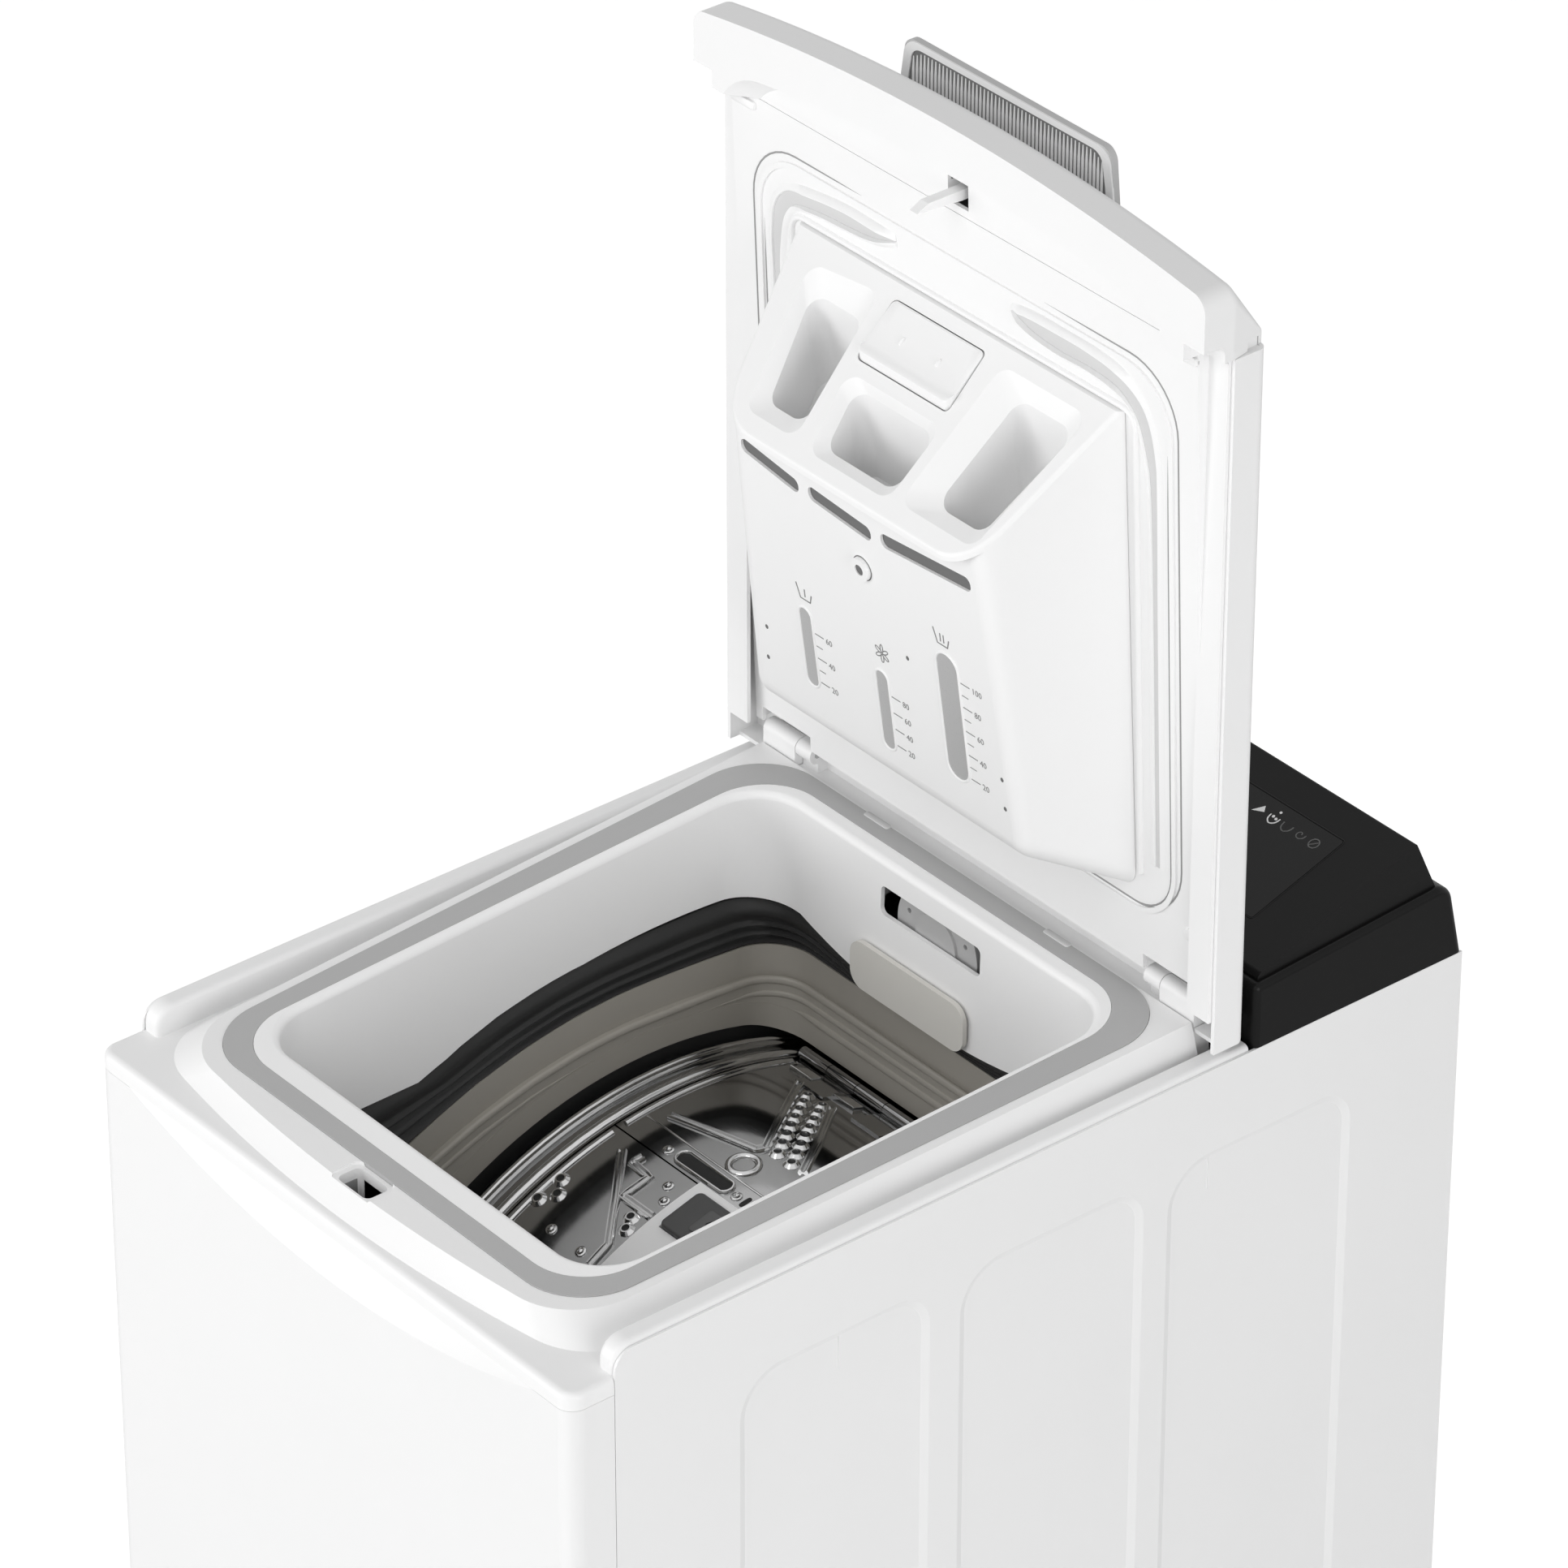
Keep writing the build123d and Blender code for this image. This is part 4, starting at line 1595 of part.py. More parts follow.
def tray_solid():
    """Outside of the tray: foot, leaning front wall, lip and sloping top."""
    gap = RUN * 0.6
    low = hinge_z + TRAY_BOTTOM
    top = hinge_z + tray_top
    lip_y, lip_z0 = tray_top_point(TRAY_LIP_ALONG)
    under = lip_z0 - TRAY_LIP_FACE
    wall_top = under + (tray_wall_y(under) - lip_y) * TRAY_LIP_UNDER
    foot_z = hinge_z + TRAY_FOOT
    points = ((liner_y(low) - gap, low), (liner_y(top) - gap, top), (rear_point, rear_height), (lip_y,
                                                                                                lip_z0),
              (lip_y, under), (tray_wall_y(wall_top), wall_top), (tray_wall_y(foot_z), foot_z))
    body = profile_x(points, -half_w, half_w, {6: LIP_ROUND * 4})
    body &= extrude(Plane.XY.offset(low) * tray_plan(0), top - low)
    slope = body.faces().sort_by_distance(tray_top_plane(TRAY_LIP_ALONG / 2).origin)[0]
    body = fillet([e for e in slope.edges() if e.center().Z < top - LIP_ROUND], TRAY_LIP_ROUND)
    upright = [e for e in body.edges() if foot_z < e.center().Z < under and abs(e.center().X) > tray_front_half]
    return fillet([e for e in upright if e.center().Y < hinge_y - TRAY_FOOT_DEPTH and e.length > TRAY_FOOT * 0.75],
                  (under - foot_z) * TRAY_EDGE_SHARE)


def tray_hollow():
    """The tray's inside, open to the lid."""
    low = hinge_z + TRAY_BOTTOM
    top = hinge_z + tray_top
    meet = tray_top_point(TRAY_LIP_ALONG)[1] + LEDGE
    foot_z = hinge_z + TRAY_FOOT
    points = ((liner_y(low), low), (liner_y(top), top), (rear_point, rear_height),
              (tray_wall_y(meet), meet), (tray_wall_y(foot_z), foot_z))
    side_view = offset(make_face(Polyline(*points, close=True)), -TRAY_WALL, kind=Kind.INTERSECTION)
    body = extrude(Plane.YZ.offset(-half_w) * side_view, CABINET_WIDTH)
    return Pos(0, TRAY_WALL * 1.6, 0) * (body & extrude(Plane.XY.offset(low) * tray_plan(TRAY_WALL * 3),
                                                        top - low))


def cavity_face(corners, grow):
    """A cavity's outline on the sloping top, corners given as X and the distance down the slope."""
    points = [(x, -along) for x, along in corners]
    face = make_face(Polyline(*points, close=True))
    face = fillet(face.vertices(), CAVITY_CORNER)
    return offset(face, grow) if grow > 0 else face


def cavity(rim, mouth_corners, grow):
    """A chute down into the tray with a bevelled rim, or the chute's outside."""
    place = tray_top_plane(0)
    face = place.offset(-CAVITY_BEVEL) * cavity_face(mouth_corners, grow)
    down = Vector(0, TRAY_WALL_LEAN, -1).normalized()
    chute = extrude(face, CAVITY_DEPTH + grow, dir=down)
    if grow > 0:
        return chute + extrude(place.offset(-CAVITY_BEVEL - grow) * cavity_face(rim, grow),
                               CAVITY_BEVEL + grow)
    bevel = loft([place * cavity_face(rim, 0), place.offset(-CAVITY_BEVEL) * cavity_face(mouth_corners, 0)])
    return chute + bevel + extrude(place * cavity_face(rim, 0), LEDGE)


def cavities(grow):
    """The three detergent chutes."""
    made = cavity(CAVITY_RIMS[0], CAVITY_MOUTHS[0], grow)
    for rim, mouth_corners in zip(CAVITY_RIMS[1:], CAVITY_MOUTHS[1:]):
        made += cavity(rim, mouth_corners, grow)
    return made


def dispenser():
    """Detergent tray: a hollow shell with three cavities, the tile's seat, overflow slots and window seats."""
    seat = tray_top_plane(tile_along())
    floor = -TILE_SUNK - TILE_TRAVEL - RUN
    keep = cavities(TRAY_WALL)
    keep += extrude(seat.offset(floor - TRAY_WALL) * tile_outline(RUN + TRAY_WALL), LEDGE)
    body = tray_solid() - (tray_hollow() - keep)
    body -= cavities(0)
    body -= extrude(seat.offset(floor) * tile_outline(RUN), LEDGE)
    wall = tray_wall_plane()
    for x, z0, z1, half in WINDOW_PLACES:
        body -= extrude(wall.offset(-WINDOW_THICK) * window_outline(x, z0, z1, half + FIT), LEDGE)
    for x0, x1, low, tip in OVERFLOW_SLOTS:
        slot = make_face(Polyline((x0, low), (x1, tip), (x1, tip + SLOT_HEIGHT), (x0, low + SLOT_HEIGHT),
                                  close=True))
        slot = fillet(slot.vertices(), SLOT_HEIGHT * 0.45)
        body -= extrude(wall.offset(-TRAY_WALL * 1.5) * Pos(0, -TRAY_FOOT) * slot, LEDGE * 2)
    return body


def tile_along():
    """Where the release tile's middle lies on the sloping top."""
    return TILE_INSET + TILE_LENGTH / 2


def tile_outline(grow=0.0):
    """Outline of the release tile."""
    return Pos(TILE_X, 0) * RectangleRounded(TILE_HALF * 2 + grow * 2, TILE_LENGTH + grow * 2,
                                             SHEET * 2 + grow)


def release_tile():
    """Press tile that frees the dispenser, with two grip nubs."""
    place = tray_top_plane(tile_along())
    body = extrude(place.offset(-TILE_SUNK) * tile_outline(), TILE_SUNK + TILE_PROUD)
    for x in (-TILE_HALF / 2.5, TILE_HALF / 2.5):
        body += place * Pos(TILE_X + x, 0, TILE_PROUD) * Sphere(SHEET * 1.3)
    return body


def window_outline(x, z0, z1, half):
    """A tall rounded window on the tray's front wall."""
    return Pos(x, (z0 + z1) / 2 - TRAY_FOOT) * RectangleRounded(half * 2, z1 - z0, half * 0.98)


def dispenser_windows():
    """Three clear windows in the tray's front wall."""
    wall = tray_wall_plane()
    made = []
    for x, z0, z1, half in WINDOW_PLACES:
        made.append(extrude(wall.offset(-WINDOW_THICK) * window_outline(x, z0, z1, half), WINDOW_THICK))
    return Compound(children=made)


def rear_feet():
    """Two fixed rear feet."""
    return Compound(children=[foot(x, y) for x, y in foot_places()[2:]])


def panel_screws():
    """Screws that hold the rear panel to the side flanges."""
    made = []
    x = inner_x - FLANGE / 2
    for side in (-1, 1):
        for z in (SIDE_HEIGHT * 0.25, SIDE_HEIGHT * 0.5, SIDE_HEIGHT * 0.9):
            head = rod_y(SCREW_HEAD, side * x, back_y, back_y + SHEET, z)
            made.append(head)
    return Compound(children=made)


NODES = {
    "base_frame": base_frame,
    "kick_panel": kick_panel,
    "service_flap": service_flap,
    "front_panel": front_panel,
    "left_side_panel": left_side_panel,
    "right_side_panel": right_side_panel,
    "rear_panel": rear_panel,
    "top_frame": top_frame,
    "rim_trim": rim_trim,
    "loading_funnel": loading_funnel,
    "funnel_tab": funnel_tab,
    "water_distributor": water_distributor,
    "hinge_pins": hinge_pins,
    "lid_lock": lid_lock,
    "console_housing": console_housing,
    "display_glass": display_glass,
    "program_knob": program_knob,
    "start_key": lambda: key(start_key_at),
    "option_key": lambda: key(option_key_at),
    "control_board": control_board,
    "inlet_valve": inlet_valve,
    "inlet_hose": inlet_hose,
    "drain_pump": drain_pump,
    "pump_filter": pump_filter,
    "drain_pipe": drain_pipe,
    "front_foot_left": lambda: foot(*foot_places()[0]),
    "front_foot_right": lambda: foot(*foot_places()[1]),
    "rear_feet": rear_feet,
    "damper_cylinders": damper_cylinders,
    "panel_screws": panel_screws,
    "tub_left_half": lambda: tub_half(-1),
    "tub_right_half": lambda: tub_half(1),
    "tub_collar": tub_collar,
    "bellows": bellows,
    "bearing_housings": bearing_housings,
    "bearings": bearings,
    "counterweight": counterweight,
    "motor": motor,
    "motor_pulley": motor_pulley,
    "drive_belt": drive_belt,
    "heater": heater,
    "damper_rods": damper_rods,
    "suspension_springs": suspension_springs,
    "sump_hose": sump_hose,
    "drum_shell": drum_shell,
    "drum_ends": drum_ends,
    "drum_pulley": drum_pulley,
    "drum_lifters": drum_lifters,
    "front_flap": front_flap,
    "rear_flap": rear_flap,
    "latch_plate": latch_plate,
    "latch_button": latch_button,
    "lid_shell": lid_shell,
    "lid_front_cap": lid_front_cap,
    "lid_liner": lid_liner,
    "lid_handle": lid_handle,
    "lid_hook": lid_hook,
    "dispenser": dispenser,
    "dispenser_windows": dispenser_windows,
    "release_tile": release_tile,
}

os.makedirs("parts", exist_ok=True)
for name, make in NODES.items():
    export_step(make(), "parts/" + name + ".step")
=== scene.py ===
"""Looks of a slim top load washing machine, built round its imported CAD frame."""
import json
from math import copysign, cos, degrees, hypot, pi, radians, sin, sqrt

import bpy
import bmesh
from mathutils import Matrix, Vector


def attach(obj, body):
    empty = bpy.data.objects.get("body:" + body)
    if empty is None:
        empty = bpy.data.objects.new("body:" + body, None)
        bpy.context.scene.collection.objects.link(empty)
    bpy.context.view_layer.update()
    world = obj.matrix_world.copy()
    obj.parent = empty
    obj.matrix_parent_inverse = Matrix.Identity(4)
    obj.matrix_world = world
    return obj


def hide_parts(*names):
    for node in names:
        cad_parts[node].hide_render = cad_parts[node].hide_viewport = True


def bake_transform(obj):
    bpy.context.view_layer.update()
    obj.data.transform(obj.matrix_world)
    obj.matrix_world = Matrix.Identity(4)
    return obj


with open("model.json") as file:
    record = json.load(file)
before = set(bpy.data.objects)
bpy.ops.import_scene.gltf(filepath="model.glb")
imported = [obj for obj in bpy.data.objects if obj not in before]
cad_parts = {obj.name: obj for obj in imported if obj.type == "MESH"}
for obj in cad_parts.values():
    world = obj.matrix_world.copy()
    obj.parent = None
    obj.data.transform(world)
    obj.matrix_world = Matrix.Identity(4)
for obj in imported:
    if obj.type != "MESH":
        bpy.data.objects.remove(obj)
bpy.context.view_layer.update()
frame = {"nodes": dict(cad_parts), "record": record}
nodes = frame["nodes"]

# Camera fitted to the photo: a long lens from the front right, above the open lid
CAMERA_PLACE = (2.9806, -2.4340, 3.4389)
CAMERA_AZIMUTH = 50.759
CAMERA_ELEVATION = 32.484
CAMERA_LENS = 202.4
CAMERA_REACH = 50
SENSOR = 36

# Studio, in metres: light on matt surfaces, the floor, and lamps as place, target, size and power
AMBIENT = 0.47
FLOOR_LIFT = 0.5
FLOOR_HALF = 6
LAMPS = (("key", (-1.7, -3.2, 1.4), (0, 0, 0.9), 2.2, 46),
         ("fill", (3.2, -0.8, 1.5), (0, 0, 0.8), 2.4, 37),
         ("top", (0.4, -2.3, 2.9), (0, 0, 0.8), 1.6, 16))

# Places shared with the CAD model, in millimetres like every piece below
MM = 0.001
AXIS_Y, AXIS_Z, DRUM_RADIUS = 14, 494, 240
RIM_SLOPE = 0.0406
LINER_Y, LINER_Z = 130.26, 900
TRAY_FOOT_Y, TRAY_FOOT_Z, TRAY_FOOT_UP = 71, 968, 83
TRAY_LEAN_SIN, TRAY_LEAN_COS = 0.1357, 0.9907
TRAY_TOP_Y, TRAY_TOP_Z, TRAY_TOP_TURN = 113.03, 1226, 0.7071
FASCIA_Y, FASCIA_Z, FASCIA_RISE = 157, 905, 0.3273
FASCIA_SIN, FASCIA_COS = 0.311, 0.9504

# Where a bevel's rounding starts, as a share of the bevel, and how high a print stands
BEVEL_START, PRINT_HIGH = 0.3, 0.2


def srgb(value):
    """Linear value of an 8-bit screen value."""
    c = value / 255
    return c / 12.92 if c <= 0.04045 else ((c + 0.055) / 1.055) ** 2.4


def screen(red, green, blue):
    """A linear colour from three screen values."""
    return (srgb(red), srgb(green), srgb(blue), 1)


def grey(value):
    """A linear grey from a screen value."""
    return screen(value, value, value)


def feed(tree, node, values=(), sources=()):
    """Set values on some of a node's inputs and link other nodes' outputs to others."""
    for label, value in dict(values).items():
        node.inputs[label].default_value = value
    for label, source in dict(sources).items():
        tree.links.new(source, node.inputs[label])


def add(tree, kind, output, values=(), sources=(), **settings):
    """Add a shader node and give back one of its outputs."""
    node = tree.nodes.new("ShaderNode" + kind)
    for label, value in settings.items():
        setattr(node, label, value)
    feed(tree, node, values, sources)
    return node.outputs[output]


def material(name, color, rough, metallic=0, grain=1500, bump=0.05, spread=0.03, broad=9,
             stretch=(1, 1, 1), coat=0, coat_rough=0.1, rough_spread=0.08, depth=0.0003,
             specular=0.5):
    """A moulded, painted or metal surface: fine grain, broad tone and roughness variation, and bump."""
    mat = bpy.data.materials.new(name)
    mat.use_nodes = True
    tree = mat.node_tree
    place = add(tree, "TexCoord", "Object")
    scaled = add(tree, "Mapping", "Vector", {"Scale": stretch}, {"Vector": place})
    fine = add(tree, "TexNoise", "Fac", {"Scale": grain, "Detail": 3}, {"Vector": scaled})
    wide = add(tree, "TexNoise", "Fac", {"Scale": broad, "Detail": 2}, {"Vector": place})
    low = tuple(max(0, c * (1 - spread)) for c in color[:3]) + (1,)
    high = tuple(min(1, c * (1 + spread)) for c in color[:3]) + (1,)
    tone = add(tree, "Mix", 2, {6: low, 7: high}, {0: wide}, data_type="RGBA")
    rough_range = {"To Min": max(0.02, rough - rough_spread), "To Max": min(1, rough + rough_spread)}
    polish = add(tree, "MapRange", "Result", rough_range, {"Value": fine})
    relief = add(tree, "Bump", "Normal", {"Strength": bump, "Distance": depth}, {"Height": fine})
    plain = {"Metallic": metallic, "Coat Weight": coat, "Coat Roughness": coat_rough,
             "Specular IOR Level": specular}
    feed(tree, tree.nodes["Principled BSDF"], plain,
         {"Base Color": tone, "Roughness": polish, "Normal": relief})
    return mat


M = {}


def finish(name, color, rough, **look):
    """Make a material and keep it under its name."""
    M[name] = material(name, color, rough, **look)


# Finishes of the CAD nodes, by material slot
finish("white_enamel", grey(240), 0.34, grain=420, spread=0.012, coat=0.25)
finish("white_plastic", grey(243), 0.42, grain=2600, spread=0.012)
finish("grey_trim", grey(180), 0.45, grain=2200, bump=0.06, spread=0.02)
finish("handle_grey", grey(192), 0.45, grain=2200, bump=0.06)
finish("black_console", grey(17), 0.3, grain=1200, bump=0.02, spread=0.10, coat=0.04,
       rough_spread=0.05, specular=0.12)
finish("display_black", grey(15), 0.2, grain=900, bump=0.01, spread=0.10, coat=0.1,
       coat_rough=0.06, rough_spread=0.03, specular=0.15)
finish("knob_grey", grey(185), 0.38, grain=2200)
finish("black_rubber", grey(40), 0.62, grain=1400, bump=0.20, spread=0.12, specular=0.4)
finish("greige_plastic", screen(166, 162, 154), 0.45, grain=2200, bump=0.06)
# Painted reflection: the flat stainless steel is a darker copy of the pressed steel further down, standing
# for the dark reflections on its flat faces
finish("stainless", grey(168), 0.09, metallic=1, grain=160, bump=0.02, spread=0.02,
       stretch=(0.4, 8, 8), rough_spread=0.03)
finish("zinc_steel", grey(185), 0.36, metallic=1, grain=500, bump=0.10, spread=0.06)
finish("dark_plastic", grey(70), 0.5, grain=1800, bump=0.10, spread=0.06)
finish("window_grey", grey(178), 0.3, grain=1800, bump=0.04)
finish("concrete", screen(152, 150, 148), 0.9, grain=300, bump=0.6, spread=0.14, broad=40,
       depth=0.001)
finish("cast_metal", grey(170), 0.48, metallic=1, grain=700, bump=0.22, spread=0.08)
finish("board_green", (0.03, 0.16, 0.07, 1), 0.45, grain=900, bump=0.08, spread=0.15)
# Extra finishes for the small pieces and for three of the nodes
# Painted shade: grey for the seal's lines on the lid and for the lining inside the hook slot
finish("recess_painted_shade", grey(150), 0.5, grain=2400, bump=0.08, spread=0.04)
finish("rim_pale", grey(208), 0.4, grain=2400)
# Painted light: a lighter copy of the handle's grey for its ribs and frame
finish("handle_painted_light", grey(236), 0.42, grain=2400, spread=0.02)
# Painted shade: grey for the floors of the crescents
finish("crescent_painted_shade", grey(212), 0.5, grain=2400)
finish("pad_grey", grey(92), 0.5, grain=1800, bump=0.08, spread=0.05)
# Painted shade: near black for the engraved chevrons on the latch button and the groove along the console
finish("groove_painted_shade", grey(28), 0.7, bump=0.1, spread=0.15, specular=0.3)
finish("print_grey", grey(128), 0.55, grain=3000, spread=0.05)
finish("icon_white", grey(250), 0.5, grain=3000, bump=0.02, spread=0.01)
finish("icon_dim", grey(92), 0.5, grain=3000, bump=0.02, spread=0.05)
finish("pressed_steel", grey(205), 0.14, metallic=1, grain=260, bump=0.03,
       stretch=(0.4, 6, 6), rough_spread=0.06)
# Painted shade: near black for the insides of holes and slots in the drum and its flaps
finish("hole_painted_shade", grey(36), 0.6, bump=0.1, spread=0.15, specular=0.3)
# Painted light: a lighter copy of the collar's greige for the funnel's tab, which faces the light
finish("greige_painted_light", screen(222, 220, 214), 0.45, grain=2200, bump=0.06)
# Painted light: a brighter copy of the white plastic for the funnel and the latch plate, lifting the shade
# they sit in
finish("white_painted_light", grey(250), 0.42, grain=2600, spread=0.008)
# Painted shade: a darker copy of the handle's grey for the well between its ribs
finish("grip_painted_shade", grey(112), 0.6, grain=2200, bump=0.08, spread=0.06)
finish("slot_shadow", grey(112), 0.7, grain=2000, bump=0.08, spread=0.06, specular=0.2)
finish("spring_wire", grey(150), 0.3, metallic=1, grain=900, spread=0.06)
# The funnel's tab, the funnel and the latch plate take lighter copies of their finishes as painted light
NODE_FINISHES = {"funnel_tab": "greige_painted_light", "loading_funnel": "white_painted_light", "latch_plate": "white_painted_light"}

slot_of = {s["node"]: s["material_slot"] for s in frame["record"]["subparts"]}
for name, obj in nodes.items():
    obj.data.materials.clear()
    obj.data.materials.append(M[NODE_FINISHES.get(name, slot_of[name])])


def vec(x, y, z):
    """A point in millimetres, or a direction."""
    return Vector((x, y, z))


def tray_wall(x, v, h=0):
    """A point on the dispenser's front wall: v up from the hinge axis, h out of the wall."""
    up = v - TRAY_FOOT_UP
    return vec(x, TRAY_FOOT_Y - TRAY_LEAN_SIN * up - TRAY_LEAN_COS * h,
               TRAY_FOOT_Z + TRAY_LEAN_COS * up - TRAY_LEAN_SIN * h)


def tray_slope(x, a, h=0):
    """A point on the dispenser's sloping top: a down the slope, h off it."""
    return vec(x, TRAY_TOP_Y - TRAY_TOP_TURN * (a + h), TRAY_TOP_Z - TRAY_TOP_TURN * (a - h))


def liner(x, z, h=0):
    """A point on the lid liner, h out of it."""
    return vec(x, LINER_Y - RIM_SLOPE * (z - LINER_Z) - h, z)


def on_drum(x, angle, h=0):
    """A point on the drum's outside, h off it, its angle from the top and positive to the rear."""
    a = radians(angle)
    r = DRUM_RADIUS + h
    return vec(x, AXIS_Y + r * sin(a), AXIS_Z + r * cos(a))


def fascia(x, y, h=0):
    """A point on the console's sloping face, h off it."""
    return vec(x, y - FASCIA_SIN * h, FASCIA_Z + FASCIA_RISE * (y - FASCIA_Y) + FASCIA_COS * h)


def level(z, slope=0):
    """A level surface at a height, or one that rises to the rear."""
    return lambda x, y, h: vec(x, y, z + slope * y + h)


def upright(y, facing):
    """An upright surface that faces the front (-1) or the rear (1)."""
    return lambda x, z, h: vec(x, y + facing * h, z)


def raised(surface, lift):
    """A surface moved out by a lift."""
    return lambda u, v, h: surface(u, v, h + lift)


# The rim of the mouth, the rear panel and both faces of the handle
rim = level(871.85, RIM_SLOPE)
back = upright(298, 1)
handle_face = upright(146, -1)
handle_back = upright(150, 1)


def new_object(name, data):
    """An object that shows some data in the scene."""
    obj = bpy.data.objects.new(name, data)
    bpy.context.scene.collection.objects.link(obj)
    return obj


def piece(name, parts, slot, body, mat=None, sharp=38):
    """One mesh from several lists of points and faces, riding on a body."""
    verts, faces = [], []
    for points, polys in parts:
        start = len(verts)
        verts.extend(tuple(p * MM) for p in points)
        faces.extend(tuple(start + i for i in poly) for poly in polys)
    mesh = bpy.data.meshes.new(name)
    mesh.from_pydata(verts, [], faces)
    edit = bmesh.new()
    edit.from_mesh(mesh)
    bmesh.ops.recalc_face_normals(edit, faces=edit.faces)
    edit.to_mesh(mesh)
    edit.free()
    mesh.shade_smooth()
    mesh.set_sharp_from_angle(angle=radians(sharp))
    mesh.materials.append(M[mat or slot])
    obj = new_object(name, mesh)
    if body:
        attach(obj, body)
    return obj


def arc(u, v, radius, start, turn, steps):
    """Points on a circle from a start angle through a turn, in degrees."""
    angles = [radians(start + turn * i / steps) for i in range(steps + 1)]
    return [(u + radius * cos(a), v + radius * sin(a)) for a in angles]


def circle(radius, steps, u=0, v=0):
    """Points all round a circle."""
    return arc(u, v, radius, 0, 360, steps)[:-1]


def oval(u, v, half_u, half_v, steps=16, power=1):
    """Points round an ellipse, or round a squarer one when the power is under 1."""
    squarer = lambda t: copysign(abs(t) ** power, t)
    return [(u + half_u * squarer(c), v + half_v * squarer(s)) for c, s in circle(1, steps)]


def rectangle(u0, u1, v0, v1):
    """Corners of a rectangle."""
    return [(u0, v0), (u1, v0), (u1, v1), (u0, v1)]


def rounded(half_u, v0, v1, radius, middle=0, steps=5):
    """Points round a rectangle with round corners."""
    right, left = middle + half_u - radius, middle - half_u + radius
    low, high = v0 + radius, v1 - radius
    corners = ((right, high), (left, high), (left, low), (right, low))
    return [p for k, (u, v) in enumerate(corners) for p in arc(u, v, radius, 90 * k, 90, steps)]


def fine_line(points, steps=5):
    """A broken line with more points along each of its stretches."""
    made = []
    for (u0, v0), (u1, v1) in zip(points, points[1:]):
        made.extend((u0 + (u1 - u0) * i / steps, v0 + (v1 - v0) * i / steps) for i in range(steps))
    return made + [points[-1]]


def flipped(points):
    """The mirror image of points across the middle of the machine."""
    return [(-x, v) for x, v in points]


def there_and_back(points):
    """A line carried on by its mirror image, back to the height of its start."""
    return points + flipped(reversed(points))


def spline(points, steps):
    """A smooth line through points."""
    made = []
    last = len(points) - 1
    for i in range(last):
        a, b, c, d = points[max(i - 1, 0)], points[i], points[i + 1], points[min(i + 2, last)]
        for t in (s / steps for s in range(steps)):
            made.append(0.5 * (2 * b + (c - a) * t + (2 * a - 5 * b + 4 * c - d) * t * t
                               + (3 * b - a - 3 * c + d) * t ** 3))
    return made + [points[-1].copy()]


def skin(verts, size, closed=False):
    """Rings of points, each of one size, with faces from ring to ring and over the two ends."""
    count = len(verts) // size
    faces = []
    for i in range(count if closed else count - 1):
        a, b = i * size, (i + 1) % count * size
        faces.extend((a + j, a + (j + 1) % size, b + (j + 1) % size, b + j) for j in range(size))
    if not closed:
        faces.append(tuple(range(size - 1, -1, -1)))
        faces.append(tuple(range((count - 1) * size, count * size)))
    return verts, faces


def sweep(points, normals, section, closed=False, swell=None):
    """A section drawn along a line; each normal points away from the surface the line lies on."""
    last = len(points) - 1
    verts = []
    for i, p in enumerate(points):
        before = points[i - 1] if closed or i > 0 else p
        after = points[(i + 1) % (last + 1)] if closed or i < last else p
        along = (after - before).normalized()
        side = along.cross(normals[i]).normalized()
        up = side.cross(along)
        grow = swell(i / last) if swell else 1
        verts.extend(p + side * s * grow + up * h * (grow if h > 0 else 1) for s, h in section)
    return skin(verts, len(section), closed)


def swelling(start, rate):
    """A swell that grows from a share of the full size at both ends of a line."""
    return lambda t: min(1, start + rate * t, start + rate * (1 - t))


def half_round(width, height, sunk=0.4, steps=6):
    """Section of a raised bead."""
    top = [(c * width / 2, s * height) for c, s in arc(0, 0, 1, 0, 180, steps)]
    return [(-width / 2, -sunk), (width / 2, -sunk)] + top


def stroke(width, height=PRINT_HIGH):
    """Section of a printed line."""
    return half_round(width, height, PRINT_HIGH, 4)


def on_surface(surface, outline, section, closed=False, swell=None):
    """A section drawn along a line given in a surface's own two coordinates."""
    points = [surface(u, v, 0) for u, v in outline]
    normals = [surface(u, v, 1) - surface(u, v, 0) for u, v in outline]
    return sweep(points, normals, section, closed, swell)


def slab(surface, outline, low, high, edge=0):
    """A flat shape on a surface from one height to another, its top edge broken by a bevel."""
    count = len(outline)
    middle_u = sum(u for u, v in outline) / count
    middle_v = sum(v for u, v in outline) / count
    rings = [(0, low), (0, high - edge)]
    if edge:
        rings += [(edge * BEVEL_START, high - edge * BEVEL_START), (edge, high)]
    verts = []
    for inset, height in rings:
        for u, v in outline:
            du, dv = middle_u - u, middle_v - v
            far = hypot(du, dv) or 1
            verts.append(surface(u + du / far * inset, v + dv / far * inset, height))
    return skin(verts, count)


def print_mark(surface, outline):
    """A thin printed shape."""
    return slab(surface, outline, -PRINT_HIGH, PRINT_HIGH)


def ring_shape(surface, u, v, outer, inner, low, high, steps=20):
    """A flat-topped ring on a surface."""
    rings = ((outer, low), (outer, high), (inner, high), (inner, low))
    verts = [surface(*p, h) for r, h in rings for p in circle(r, steps, u, v)]
    return skin(verts, steps, closed=True)


CORNER_STEPS, SIDE_STEPS = 8, 22


